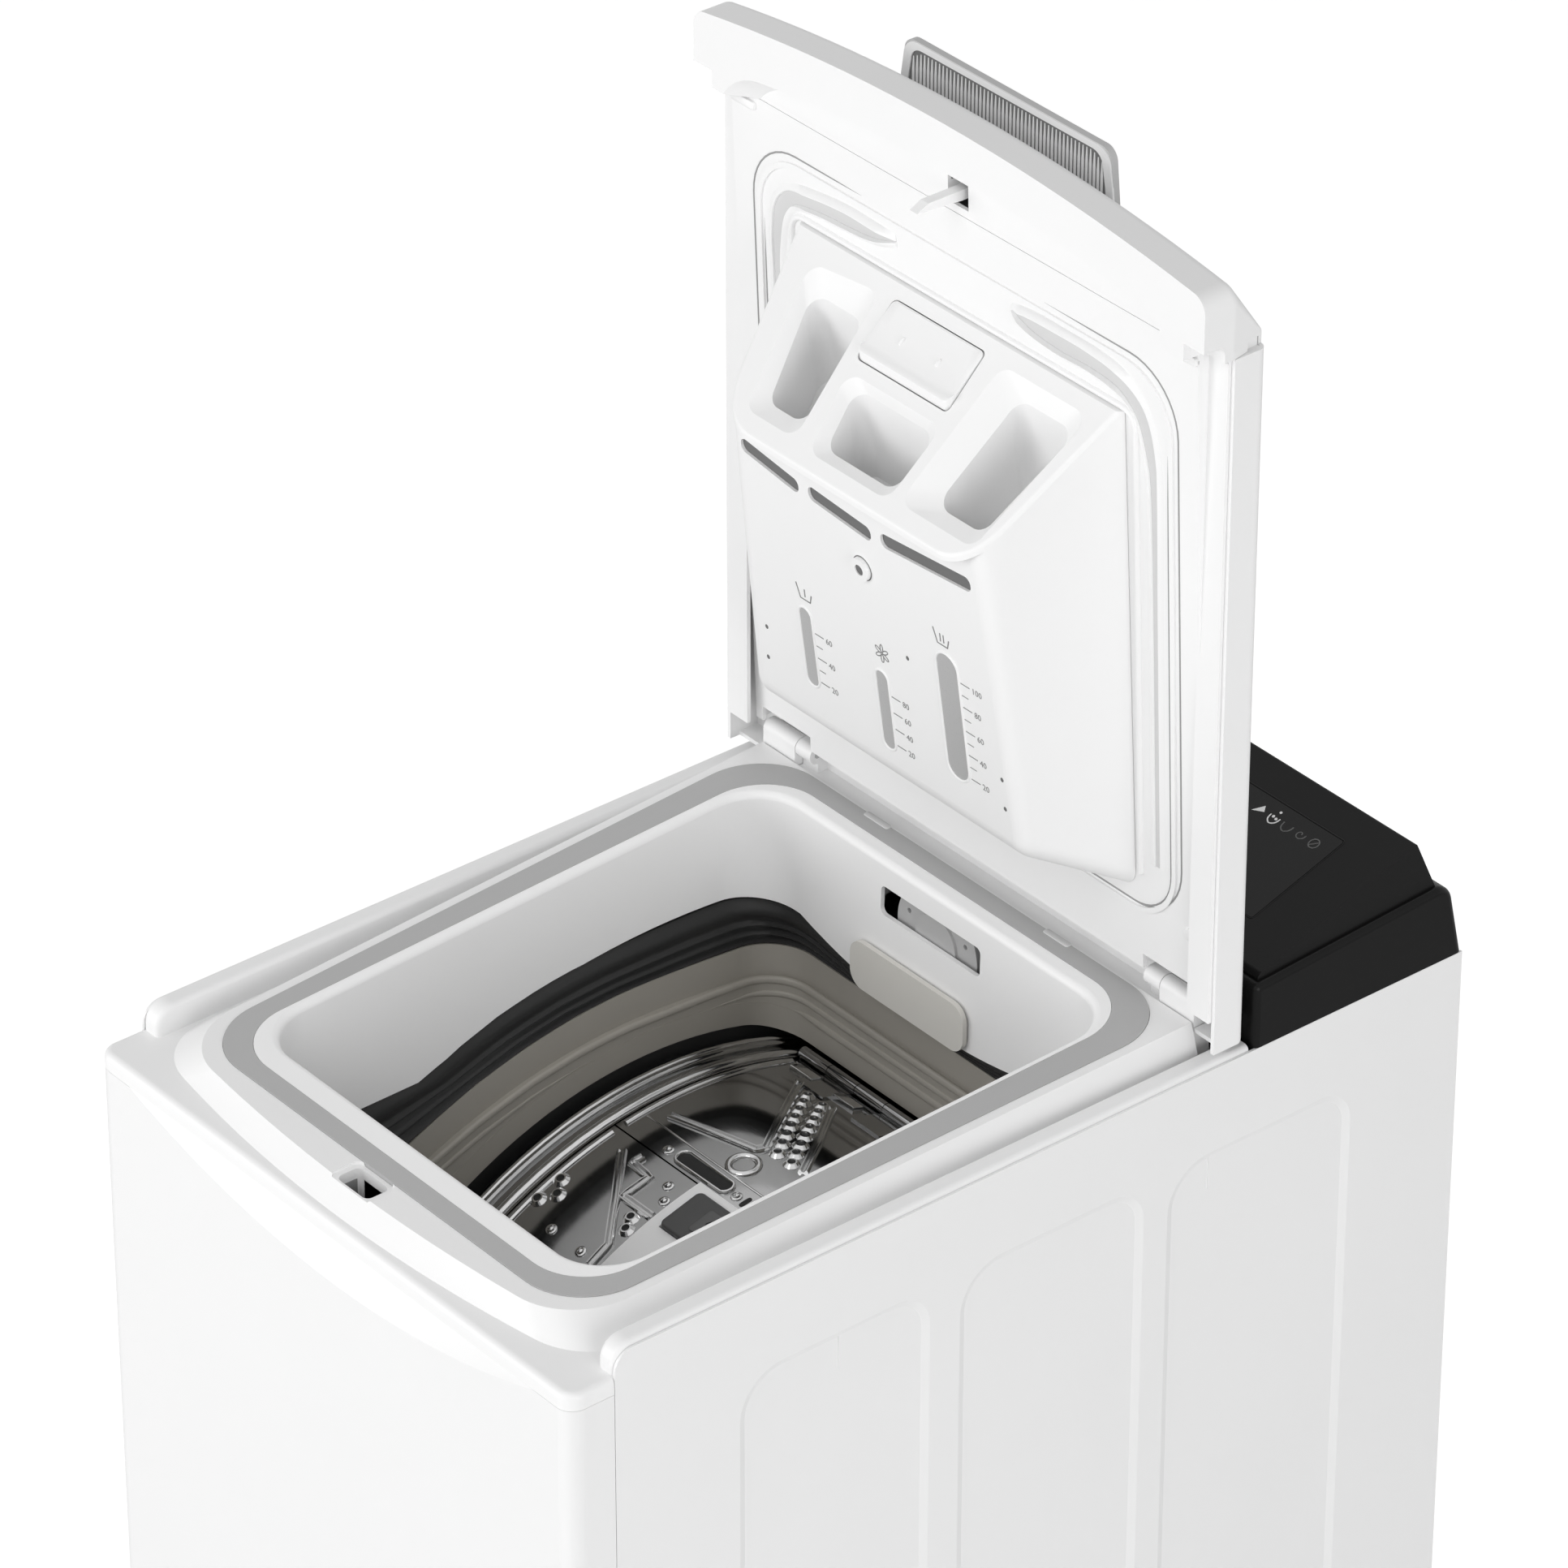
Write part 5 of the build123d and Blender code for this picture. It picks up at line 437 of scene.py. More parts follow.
def mouth_outline(front_half, rear_half, y0, y1, radius):
    """Points round the mouth: a rounded outline that may be wider at the rear."""
    corners = ((front_half, y0, -90), (rear_half, y1, 0), (-rear_half, y1, 90), (-front_half, y0, 180))
    bends = []
    for x, y, start in corners:
        middle_y = y + (radius if y == y0 else -radius)
        bends.append(arc(x - copysign(radius, x), middle_y, radius, start, 90, CORNER_STEPS))
    made = []
    for bend, following in zip(bends, bends[1:] + bends[:1]):
        made += bend + fine_line((bend[-1], following[0]), SIDE_STEPS)[1:-1]
    return made


# Saddle edges as Y and height: the funnel's lower edge, which dips at its rear, and the collar's upper one
FUNNEL_EDGE = ((-135.1, 785), (-110, 795), (-80, 803.6), (-50, 808.7), (-29.9, 810.6),
               (0, 811.9), (30, 812), (60, 811), (90, 808.7), (130, 804))
DIP_HALF, DIP_Y, DIP_LOW, DIP_RISE = 112, 80, 791, 18
COLLAR_EDGE = ((-209.6, 711), (-180, 731), (-142, 752), (-100, 768.5), (-62.1, 779),
               (-30, 784.2), (0.1, 786), (60, 783), (132.2, 777.5))


def read_table(table, y):
    """A height read from a table of Y and Z, straight between its rows."""
    if y <= table[0][0]:
        return table[0][1]
    for (y0, z0), (y1, z1) in zip(table, table[1:]):
        if y <= y1:
            return z0 + (z1 - z0) * (y - y0) / (y1 - y0)
    return table[-1][1]


def funnel_edge(x, y):
    """Height of the white funnel's saddle edge."""
    if abs(x) < DIP_HALF and y > DIP_Y:
        return DIP_LOW + DIP_RISE * (x / DIP_HALF) ** 2
    return read_table(FUNNEL_EDGE, y)


# The bellows: its rows, wall and middle, how far it enters its neighbours, the share and bulge of its plain
# band, and its folds, which get shallower where the rubber is shorter than their room
BELLOWS_ROWS, BELLOWS_WALL, BELLOWS_MIDDLE_Y, BELLOWS_SQUASH = 30, 2.2, -60, 0.8
INTO_FUNNEL, INTO_COLLAR = 1, 0.5
BAND_SHARE, BAND_BULGE = 0.5, 3
FOLD_DEPTH, FOLD_HALF_WAVES, FOLD_FADE, FOLD_ROOM = 3.2, 5, 12, 34


def bellows_fold(s):
    """How far the rubber stands out into the mouth, s of the way down from its upper edge."""
    if s < BAND_SHARE:
        return BAND_BULGE * sin(pi * s / BAND_SHARE) ** 2
    wave = sin(pi * (s - BAND_SHARE) / (1 - BAND_SHARE) * FOLD_HALF_WAVES)
    return FOLD_DEPTH * wave * min(1, (1 - s) * FOLD_FADE)


def bellows():
    """Rubber ring with a smooth band above and three folds below, between the funnel and the tub's collar."""
    high = mouth_outline(141.2, 145.2, -241.2, 103.2, 29.2)
    low = mouth_outline(139.7, 139.7, -193.7, 111.7, 28.7)
    shares = [r / BELLOWS_ROWS for r in range(BELLOWS_ROWS + 1)]
    verts, weights = [], []
    for s, depth in [(s, 0) for s in shares] + [(s, BELLOWS_WALL) for s in reversed(shares)]:
        for (hx, hy), (lx, ly) in zip(high, low):
            top = vec(hx, hy, funnel_edge(hx, hy) + INTO_FUNNEL)
            foot = vec(lx, ly, read_table(COLLAR_EDGE, ly) - INTO_COLLAR)
            point = top.lerp(foot, s)
            inward = vec(-point.x, -(point.y - BELLOWS_MIDDLE_Y) * BELLOWS_SQUASH, 0).normalized()
            room = min(1, (top.z - foot.z) / FOLD_ROOM)
            verts.append(point + inward * (bellows_fold(s) * room - depth))
            weights.append(s * s * (3 - 2 * s))
    made = piece("bellows_folds", [skin(verts, len(high), closed=True)], "black_rubber", None, sharp=70)
    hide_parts("bellows")
    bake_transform(made)


SPRING_X, SPRING_FRONT_Y, SPRING_REAR_Y = 176, -110, 140
SPRING_TOP, SPRING_DROP = 785, 134
SPRING_TURNS, TURN_STEPS = 17, 12
COIL_RADIUS, WIRE_RADIUS = 5.9, 1.25


def spring(x, y):
    """One wound spring."""
    path, normals = [], []
    last = SPRING_TURNS * TURN_STEPS
    for i in range(last + 1):
        a = 2 * pi * i / TURN_STEPS
        out = vec(cos(a), sin(a), 0)
        path.append(vec(x, y, SPRING_TOP - SPRING_DROP * i / last) + out * COIL_RADIUS)
        normals.append(out)
    return sweep(path, normals, circle(WIRE_RADIUS, 6))


def springs():
    """Four wound springs that hang the tub from the side panels."""
    parts = [spring(x, y) for x in (-SPRING_X, SPRING_X) for y in (SPRING_FRONT_Y, SPRING_REAR_Y)]
    made = piece("tub_spring_coils", parts, "zinc_steel", None, mat="spring_wire", sharp=60)
    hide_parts("suspension_springs")
    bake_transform(made)


# The sump hose: its ends as Y and height, its bend, and the radii of its ribs and of its plain ends
HOSE_X, HOSE_TOP, HOSE_FOOT, HOSE_BEND = 85, (10, 222), (-179, 92), 42
HOSE_RADIUS, HOSE_RIB, HOSE_CUFF, CUFF_ROWS = 12.6, 1.3, 13.6, 5
HOSE_SIDES = 20


def sump_hose():
    """Ribbed rubber hose from the tub's sump to the pump."""
    bend_y, bend_z = HOSE_TOP[0] - HOSE_BEND, HOSE_FOOT[1] + HOSE_BEND
    line = fine_line((HOSE_TOP, (HOSE_TOP[0], bend_z)), 40)
    line += arc(bend_y, bend_z, HOSE_BEND, 0, -90, 24)[1:]
    line += fine_line(((bend_y, HOSE_FOOT[1]), HOSE_FOOT), 60)[1:]
    last = len(line) - 1
    verts = []
    for i, (y, z) in enumerate(line):
        (y0, z0), (y1, z1) = line[max(i - 1, 0)], line[min(i + 1, last)]
        far = hypot(y1 - y0, z1 - z0)
        up_y, up_z = (z1 - z0) / far, (y0 - y1) / far
        plain = i < CUFF_ROWS or i > last - CUFF_ROWS - 1
        r = HOSE_CUFF if plain else HOSE_RADIUS + HOSE_RIB * (-1) ** i
        verts.extend(vec(HOSE_X + s, y + up_y * t, z + up_z * t) for s, t in circle(r, HOSE_SIDES))
    made = piece("sump_hose_ribbed", [skin(verts, HOSE_SIDES)], "black_rubber", None, sharp=70)
    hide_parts("sump_hose")
    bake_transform(made)


# The collar's inner wall, its ridges as drop, width and height, and the thin skirt under it
COLLAR_LINE = mouth_outline(136, 136, -190, 108, 25)
COLLAR_MIDDLE_Y, COLLAR_SQUASH = -41, 0.9
COLLAR_RIDGES = ((22, 5, 1.6), (31, 4, 1.2), (40, 5, 1.4))
SHORTEST_RIDGE = 5
COLLAR_REACH, SKIRT_REACH, SKIRT_INSIDE, SKIRT_OUTSIDE = 262, 247.5, 0.2, -2.2


def collar_inward(x, y):
    """The way from the collar's wall into the mouth."""
    return vec(-x, -(y - COLLAR_MIDDLE_Y) * COLLAR_SQUASH, 0).normalized()


def clear_runs(points):
    """Numbers of the points of a closed line that are over the collar's lower edge, run by run."""
    runs, run = [], []
    for i, p in enumerate(points):
        if hypot(p.y - AXIS_Y, p.z - AXIS_Z) > COLLAR_REACH:
            run.append(i)
        elif run:
            runs.append(run)
            run = []
    if run and runs and runs[0][0] == 0:
        runs[0] = run + runs[0]
    elif run:
        runs.append(run)
    return [run for run in runs if len(run) >= SHORTEST_RIDGE]


def collar_ridges():
    """Soft steps moulded round the inside of the tub's collar."""
    parts = []
    normals = [collar_inward(x, y) for x, y in COLLAR_LINE]
    for drop, width, height in COLLAR_RIDGES:
        points = [vec(x, y, read_table(COLLAR_EDGE, y) - drop) for x, y in COLLAR_LINE]
        for run in clear_runs(points):
            parts.append(sweep([points[i] for i in run], [normals[i] for i in run],
                               half_round(width, height, 0.5), swell=swelling(0.15, 8)))
    piece("collar_ridges", parts, "greige_plastic", "tub", sharp=60)


def collar_skirt():
    """Thin lip that carries the collar's wall down to just clear of the drum."""
    verts = []
    for inset, reach in ((SKIRT_INSIDE, COLLAR_REACH), (SKIRT_INSIDE, SKIRT_REACH),
                         (SKIRT_OUTSIDE, SKIRT_REACH), (SKIRT_OUTSIDE, COLLAR_REACH)):
        for x, y in COLLAR_LINE:
            height = AXIS_Z + sqrt(reach ** 2 - (y - AXIS_Y) ** 2)
            verts.append(vec(x, y, height) + collar_inward(x, y) * inset)
    piece("collar_skirt", [skin(verts, len(COLLAR_LINE), closed=True)], "greige_plastic", "tub", sharp=50)


# The handle: foot, tip, half width and corner of its face, and its grip ribs, shorter near the corners
HANDLE_FOOT, HANDLE_TIP, HANDLE_HALF, HANDLE_CORNER = 1306, 1344.2, 81, 11
HANDLE_RIBS, HANDLE_PITCH = 51, 2.935
RIB_TOP, RIB_BACK_TOP, RIB_PLAIN_HALF, RIB_SHORTER = 1338.6, 1338, 66, 0.5
HANDLE_RIB = ((-0.95, -0.2), (0.95, -0.2), (0.9, 0.4), (0.7, 0.55), (-0.7, 0.55), (-0.9, 0.4))


def handle_outline(inset):
    """The handle's edge from its right foot over the tip to its left foot, drawn in by an inset."""
    corner = HANDLE_CORNER - inset * 0.7
    side, tip = HANDLE_HALF - inset * 1.5, HANDLE_TIP - inset
    foot = [(side + 3.6, HANDLE_FOOT), (side + 1.8, HANDLE_FOOT + 16)]
    return there_and_back(foot + arc(side - corner, tip - corner, corner, 0, 90, 6))


def handle_details():
    """Fine grip ribs over a dark well on the handle, with a pale frame round its edge. The ribs and frame are
    a lighter copy of the handle's grey as painted light, and the well's dark grey is painted shade between
    the ribs.
    """
    ease = swelling(0.4, 4)
    ribs = []
    for i in range(HANDLE_RIBS):
        x = (i - (HANDLE_RIBS - 1) / 2) * HANDLE_PITCH
        top = RIB_TOP - max(0, abs(x) - RIB_PLAIN_HALF) * RIB_SHORTER
        line = fine_line(((x, HANDLE_FOOT), (x, top)), 4)
        ribs.append(on_surface(handle_face, line, HANDLE_RIB, swell=ease))
        line = fine_line(((x, HANDLE_FOOT), (x, RIB_BACK_TOP)), 4)
        ribs.append(on_surface(handle_back, line, half_round(1.5, 0.6, 0.2, 5), swell=ease))
    piece("handle_ribs", ribs, "handle_grey", "lid_handle", mat="handle_painted_light", sharp=60)
    edge, hole = handle_outline(0.3), handle_outline(4)
    frame_shape = slab(handle_face, edge + hole[::-1], -0.3, 0.9)
    piece("handle_rim", [frame_shape], "handle_grey", "lid_handle", mat="handle_painted_light", sharp=50)
    well = slab(handle_face, hole, -0.2, 0.12)
    piece("handle_well_shade", [well], "handle_grey", "lid_handle", mat="grip_painted_shade")


# The outer seal line has a gap at the middle of its top, and the inner one is open at the top
SEAL_TOP, SEAL_RIGHT_END, SEAL_LEFT_END = 1262, 66, -78
SEAL_BEND_X, SEAL_BEND_TOP, SEAL_BEND_FOOT, SEAL_BEND = 131.6, 1226, 966, 36
INNER_X, INNER_TOP, INNER_FOOT, INNER_BEND_FOOT, INNER_BEND = 159.4, 1214, 966, 959, 29


def lid_seal_lines():
    """Two fine lines of the seal round the tray, on the lid's inner face, their grey painted shade along the
    seal.
    """
    line = [(SEAL_RIGHT_END, SEAL_TOP), (100, SEAL_TOP)]
    line += arc(SEAL_BEND_X, SEAL_BEND_TOP, SEAL_BEND, 90, -90, 10)
    line += arc(SEAL_BEND_X, SEAL_BEND_FOOT, SEAL_BEND, 0, -90, 10)
    line = there_and_back(line)
    line[-1] = (SEAL_LEFT_END, SEAL_TOP)
    inner = fine_line(((INNER_X, INNER_TOP), (INNER_X, INNER_FOOT)), 10)
    inner += arc(INNER_X - INNER_BEND, INNER_BEND_FOOT, INNER_BEND, 0, -90, 10)
    fade = swelling(0.1, 30)
    parts = [on_surface(liner, line, half_round(1.1, 0.4, 0.5, 4), swell=fade),
             on_surface(liner, there_and_back(inner), half_round(1, 0.4, 0.5, 4), swell=fade)]
    piece("lid_seal_lines", parts, "grey_trim", "lid", mat="recess_painted_shade", sharp=70)


# Crescents over the tray as X, height and width, each running down beside it in a leg
CRESCENT_LEG = ((149.4, 1185, 5), (149.6, 1120, 3.6), (149.6, 1040, 3.4), (149.6, 960, 3.4))
LEFT_CRESCENT = ((-50.6, 1246.8, 0.4), (-69, 1244.3, 6.5), (-89, 1243.4, 8.8), (-112, 1241.4, 8),
                 (-134, 1237, 8), (-145, 1226, 8.6), (-148.6, 1208, 7))
RIGHT_CRESCENT = ((41, 1247.1, 0.4), (56, 1245.4, 8), (78, 1244.6, 10.8), (103, 1244.8, 10),
                  (125, 1241.4, 9.6), (140, 1229, 9), (147, 1209, 7.4))
CRESCENTS = (LEFT_CRESCENT + tuple((-x, z, w) for x, z, w in CRESCENT_LEG), RIGHT_CRESCENT + CRESCENT_LEG)
BANK_HALF, BANK_FADE, BANK_LOW, BANK_RISE = 138, 16, 1.2, 2.4


def crescent_bank(tall):
    """Half section of the raised bank along a crescent, from its foot to its inner edge."""
    return ((4, -0.4), (4, 0), (2.2, tall * 0.7), (1, tall), (0.4, tall), (0, 0.1))


def crescent_floor(tall):
    """Half section of the floor of a crescent, tinted grey as painted shade."""
    return ((0.1, -0.3), (0.1, 0.2 + tall * 0.12), (-0.05, 0.2))


def scooped(line, edge_of):
    """A channel along a line on the liner that also gives its width; a rule gives the half section."""
    points = spline([vec(*p) for p in line], 7)
    last = len(points) - 1
    verts = []
    for i, p in enumerate(points):
        along = points[min(i + 1, last)] - points[max(i - 1, 0)]
        far = hypot(along.x, along.y)
        side_u, side_v = -along.y / far, along.x / far
        half = p.z / 2
        room = min(1, max(0, (BANK_HALF - abs(p.x)) / BANK_FADE))
        edge = edge_of((BANK_LOW + BANK_RISE * room) * min(1, 0.25 + p.z / 6))
        section = [(half + s, h) for s, h in edge] + [(-half - s, h) for s, h in reversed(edge)]
        verts.extend(liner(p.x + side_u * s, p.y + side_v * s, h) for s, h in section)
    return skin(verts, len(section))


def lid_crescents():
    """Scooped crescents over the tray, with a floor tinted grey as painted shade."""
    for name, half, mat in (("lid_crescents", crescent_bank, None),
                            ("crescent_floors", crescent_floor, "crescent_painted_shade")):
        piece(name, [scooped(line, half) for line in CRESCENTS], "white_plastic", "lid", mat, sharp=40)


SEAT_HALF, SEAT_FOOT, SEAT_SIDE_TOP, SEAT_BEND_Z, SEAT_BEND = 136, 950, 1190, 1218, 10
CLIP_X, CLIP_LOW, CLIP_HIGH, CAP_Z = 173, 1276.5, 1281.5, 930


def lid_contours():
    """Frame of the tray's seat, clip tabs and screw caps on the lid's inner face."""
    seat = fine_line(((SEAT_HALF, SEAT_FOOT), (SEAT_HALF, SEAT_SIDE_TOP)), 10)
    seat += arc(SEAT_HALF - SEAT_BEND, SEAT_BEND_Z, SEAT_BEND, 0, 90, 6)
    parts = [on_surface(liner, there_and_back(seat), half_round(3.6, 2.2, 0.5, 6))]
    for x in (-CLIP_X, CLIP_X):
        parts.append(slab(liner, rounded(10, CLIP_LOW, CLIP_HIGH, 1.6, x), -0.5, 1.8, 0.7))
        parts.append(slab(liner, oval(x, CAP_Z, 4, 4), -0.4, 0.9, 0.5))
    piece("lid_contours", parts, "white_plastic", "lid", sharp=50)


# Lowest level of the corner walls, then each as its two X, its two Y and its two heights over that level
CORNER_WALL_Z = 1282
CORNER_WALLS = ((172, 197.4, 122, 142.9, 0, 2.7), (180, 195.2, 124, 142.5, 2.7, 9))


def lid_end_walls():
    """Small walls that close the lid's front corners between its shell and its cap."""
    walls = []
    for side in (-1, 1):
        for x0, x1, y0, y1, low, high in CORNER_WALLS:
            walls.append(slab(level(CORNER_WALL_Z), rectangle(side * x0, side * x1, y0, y1), low, high))
    piece("lid_end_walls", walls, "white_plastic", "lid", sharp=40)


# Windows of the tray as middle, foot, top and half width; scales as marks and whether they have half marks
WINDOWS = ((-56.5, 111, 161, 4.5), (4.5, 101, 151, 4.5), (62, 111, 191, 8))
SCALES = ((3, True), (4, False), (5, True))
MARK_STEP, NUMERAL_SIZE, NUMERAL_THICK = 20, 5.4, 0.12
# Overflow slots as left and right end and the height of the lower edge at each
SLOTS = ((-94, -48, 245, 238), (-40, 10, 240, 236), (18, 90, 238, 244))
SLOT_TALL, SLOT_OVER = 9, 0.5
BOSS = (-0.6, 215)
PIN_HOLES = ((-92.6, 131), (-94.8, 110), (29, 172), (98, 129), (98, 110))


def numeral(text, u, v):
    """A plain number as thin raised shapes on the dispenser's front wall."""
    curve = bpy.data.curves.new("numeral", "FONT")
    curve.body = text
    curve.size = NUMERAL_SIZE
    curve.extrude = NUMERAL_THICK
    curve.resolution_u = 2
    holder = bpy.data.objects.new("numeral", curve)
    mesh = bpy.data.meshes.new_from_object(holder)
    points = [tray_wall(u + p.co.x, v + p.co.y, p.co.z) for p in mesh.vertices]
    faces = [tuple(f.vertices) for f in mesh.polygons]
    bpy.data.objects.remove(holder)
    bpy.data.curves.remove(curve)
    bpy.data.meshes.remove(mesh)
    return points, faces


def basin(x, v, strokes):
    """A plain wash basin with one or two strokes in it."""
    outline = [(x - 6.6, v + 5.2), (x - 4, v - 3.6), (x + 4, v - 3.6), (x + 5.4, v + 1.6)]
    made = [on_surface(tray_wall, outline, stroke(0.9, 0.3))]
    for k in range(strokes):
        u = x + (k - (strokes - 1) / 2) * 2.6
        made.append(on_surface(tray_wall, [(u, v - 1.6), (u, v + 3.4)], stroke(0.8, 0.3)))
    return made


def blossom(x, v):
    """A plain six-petal flower."""
    made = []
    for k in range(6):
        a = radians(60 * k + 30)
        c, s = cos(a), sin(a)
        petal = oval(3.2, 0, 2.6, 1.1, 10)
        turned = [(x + p * c - q * s, v + p * s + q * c) for p, q in petal]
        made.append(on_surface(tray_wall, turned, stroke(0.7, 0.25), closed=True))
    return made


def tray_scales():
    """Ticks and plain numbers beside the windows, with a generic picture over each."""
    marks = []
    for (x, v0, v1, half), (steps, halves) in zip(WINDOWS, SCALES):
        gap = (v1 - v0 - 18) / (steps - 1)
        edge = x + half + 2.2
        for i in range(steps):
            v = v0 + 5 + i * gap
            marks.append(on_surface(tray_wall, [(edge, v), (edge + 7, v)], stroke(0.7)))
            marks.append(numeral(str(MARK_STEP * (i + 1)), edge + 8.6, v - 2.2))
            if halves and i < steps - 1:
                between = v + gap / 2
                marks.append(on_surface(tray_wall, [(edge, between), (edge + 5, between)], stroke(0.6)))
    marks += basin(-54.5, 171, 1) + blossom(7.2, 164) + basin(60.6, 200, 2)
    piece("tray_scales", marks, "grey_trim", "dispenser", mat="print_grey", sharp=60)


def tray_details():
    """Boss, window rims, pin holes and dark slot backs on the dispenser. The dark grey of the boss's hole,
    the pin holes and the slot backs is painted shade, and so in part is that of the seam ring round the
    boss's foot.
    """
    parts = [ring_shape(tray_wall, *BOSS, 6.8, 3.2, -0.4, 2.6)]
    for x, v0, v1, half in WINDOWS:
        line = rounded(half + 0.8, v0 - 0.8, v1 + 0.8, half + 0.7, x, 6)
        parts.append(on_surface(tray_wall, line, half_round(1.6, 0.7, 0.4, 5), closed=True))
    piece("tray_boss_and_rims", parts, "white_plastic", "dispenser", sharp=50)
    holes = [slab(tray_wall, oval(*BOSS, 3.2, 3.2, 16), -0.3, 1.9)]
    holes.append(ring_shape(tray_wall, *BOSS, 7.4, 6.9, -0.3, 0.15, 28))
    holes += [slab(tray_wall, oval(u, v, 1.2, 1.4, 12), -0.3, 0.12) for u, v in PIN_HOLES]
    piece("tray_hole_shade", holes, "grey_trim", "dispenser", mat="slot_shadow")
    backs = []
    for x0, x1, low, tip in SLOTS:
        left, right, tall = x0 - SLOT_OVER, x1 + SLOT_OVER, SLOT_TALL + SLOT_OVER
        outline = [(left, low - SLOT_OVER), (right, tip - SLOT_OVER), (right, tip + tall), (left, low + tall)]
        backs.append(slab(tray_wall, outline, -2.4, -1.6))
    piece("overflow_slot_shade", backs, "grey_trim", "dispenser", mat="slot_shadow")


# The release tile: middle, half width, ends down the slope and corner, then its section down the slope
TILE_MIDDLE, TILE_HALF, TILE_REAR, TILE_FRONT, TILE_CORNER = -5, 35.8, 8.2, 43.8, 3.4
TILE_TOP = ((TILE_REAR, -1.9), (TILE_REAR, 0.5), (9.2, 1.2), (22, 1.7), (34, 2.3), (37, 3.2),
            (38.6, 4.3), (40.2, 4.4), (TILE_FRONT, -0.6), (TILE_FRONT, -1.9))
NUB_X, NUB_PLACE, NUB_BASE = 14.4, 25, 1.8


def release_tile():
    """Press tile with its rear flush, a lip and chamfer along its front and two small nubs."""
    inner = TILE_HALF - TILE_CORNER
    turns = [p[1] for p in arc(0, 0, TILE_CORNER, 0, 90, 5)[1:]]
    places = [inner * (i - 8) / 8 for i in range(17)]
    places = [-inner - t for t in reversed(turns)] + places + [inner + t for t in turns]
    middle = (TILE_REAR + TILE_FRONT) / 2
    verts = []
    for x in places:
        over = max(0, abs(x) - inner)
        cut = TILE_CORNER - sqrt(max(0, TILE_CORNER ** 2 - over ** 2))
        shrink = 1 - cut / (TILE_FRONT - middle)
        for a, h in TILE_TOP:
            lift = h if h < 1 else h - 0.7 * (over / TILE_CORNER) ** 2
            verts.append(tray_slope(TILE_MIDDLE + x, middle + (a - middle) * shrink, lift))
    parts = [skin(verts, len(TILE_TOP))]
    for x in (-NUB_X, NUB_X):
        nub = oval(TILE_MIDDLE + x, NUB_PLACE, 1.1, 2.4, 12)
        parts.append(slab(raised(tray_slope, NUB_BASE), nub, -0.4, 1.1, 0.6))
    made = piece("release_tile_lipped", parts, "white_plastic", "release_tile", sharp=32)
    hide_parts("release_tile")


# Pressings of the flaps in X and degrees, given for one half, and the section of a pressed channel
CHANNEL = ((-3, -0.4), (3, -0.4), (3, 0.3), (2.3, 1.9), (1.5, 1.9), (0.6, 0.5), (-0.6, 0.5),
           (-1.5, 1.9), (-2.3, 1.9), (-3, 0.3))
FRONT_RIBS = (((-88, -13), (-63, -19), (-41.5, -24.6), (-40.5, -28.2)),
              ((-75, -12), (-75.6, -13.6), (-59.4, -13.9), (-60.2, -18.2), (-36, -18.2)))
REAR_RIBS = (((-91, -4.4), (-61.6, -2.5), (-36, -0.9), (-34, 0.4), (-54.3, 7.1), (-79, 15)),
             ((-48.7, 14.4), (-21.9, 6.7), (-3.6, 0.6)))
FRONT_CONES = ((-98.7, -21.3), (-92.4, -23.2), (-99.6, -25.2), (-45, -19.9), (-41, -21.6))
# The rear flap's two rows of cones, each by its first and last place
REAR_CONE_ROWS = (((-65.4, 13.5), (-26, 0.8)), ((-52.7, 13.5), (-13.8, 0.7)))
CONES_IN_ROW = 8
FRONT_RIVETS = ((-46.7, -13.3), (-39.5, -15.4), (-77.8, -27.4), (-52, -27.5), (-97, -38),
                (-60, -38))
REAR_RIVETS = ((-69, -8.9), (-12, -8.7), (-97, 18))
FLAP_EDGE_X, FLAP_LIP_HALF = 103.6, 100
FRONT_SPAN, REAR_SPAN = (-45, -11.6), (-9.4, 18.6)
FLAP_EDGE = half_round(4, 1.8, 0.4, 6)
# A pressed cone as shares of its radius with heights
CONE_RADIUS, CONE_HEIGHT, CONE_SIDES = 5, 2, 14
CONE_RINGS = ((1, -0.4), (1, 0.2), (0.62, CONE_HEIGHT), (0.46, CONE_HEIGHT), (0.4, 0.2))


def round_outline(x, angle, radius, steps=14):
    """Points round a circle on the drum, in X and degrees."""
    return oval(x, angle, radius, degrees(radius / DRUM_RADIUS), steps)


def cone(x, angle):
    """A pressed cone, open at its top."""
    verts = []
    for share, h in CONE_RINGS:
        verts.extend(on_drum(*p, h) for p in round_outline(x, angle, CONE_RADIUS * share, CONE_SIDES))
    return skin(verts, CONE_SIDES)


def flap_pressings(name, ribs, cones, rivets, extra, dark):
    """Pressed ribs, cones and rivets of one flap on both its halves, and the dark of its holes, which is
    painted shade.
    """
    steel = [on_surface(on_drum, fine_line(line), CHANNEL) for line in [*ribs, *map(flipped, ribs)]]
    shade = list(dark)
    for place in [*cones, *flipped(cones)]:
        steel.append(cone(*place))
        shade.append(slab(on_drum, round_outline(*place, 2.2, 12), -0.2, 0.5))
    for place in [*rivets, *flipped(rivets)]:
        steel.append(slab(on_drum, round_outline(*place, 3.4), -0.4, 0.8, 0.4))
        steel.append(slab(on_drum, round_outline(*place, 2.2), 0.4, 2.2, 1.2))
    piece(name + "_pressings", steel + extra, "stainless", name, mat="pressed_steel", sharp=35)
    piece(name + "_holes", shade, "stainless", name, mat="hole_painted_shade")


def flap_sides(front, rear):
    """Rolled side edges of a flap between two angles."""
    return [on_surface(on_drum, fine_line([(x, front), (x, rear)], 16), FLAP_EDGE)
            for x in (-FLAP_EDGE_X, FLAP_EDGE_X)]


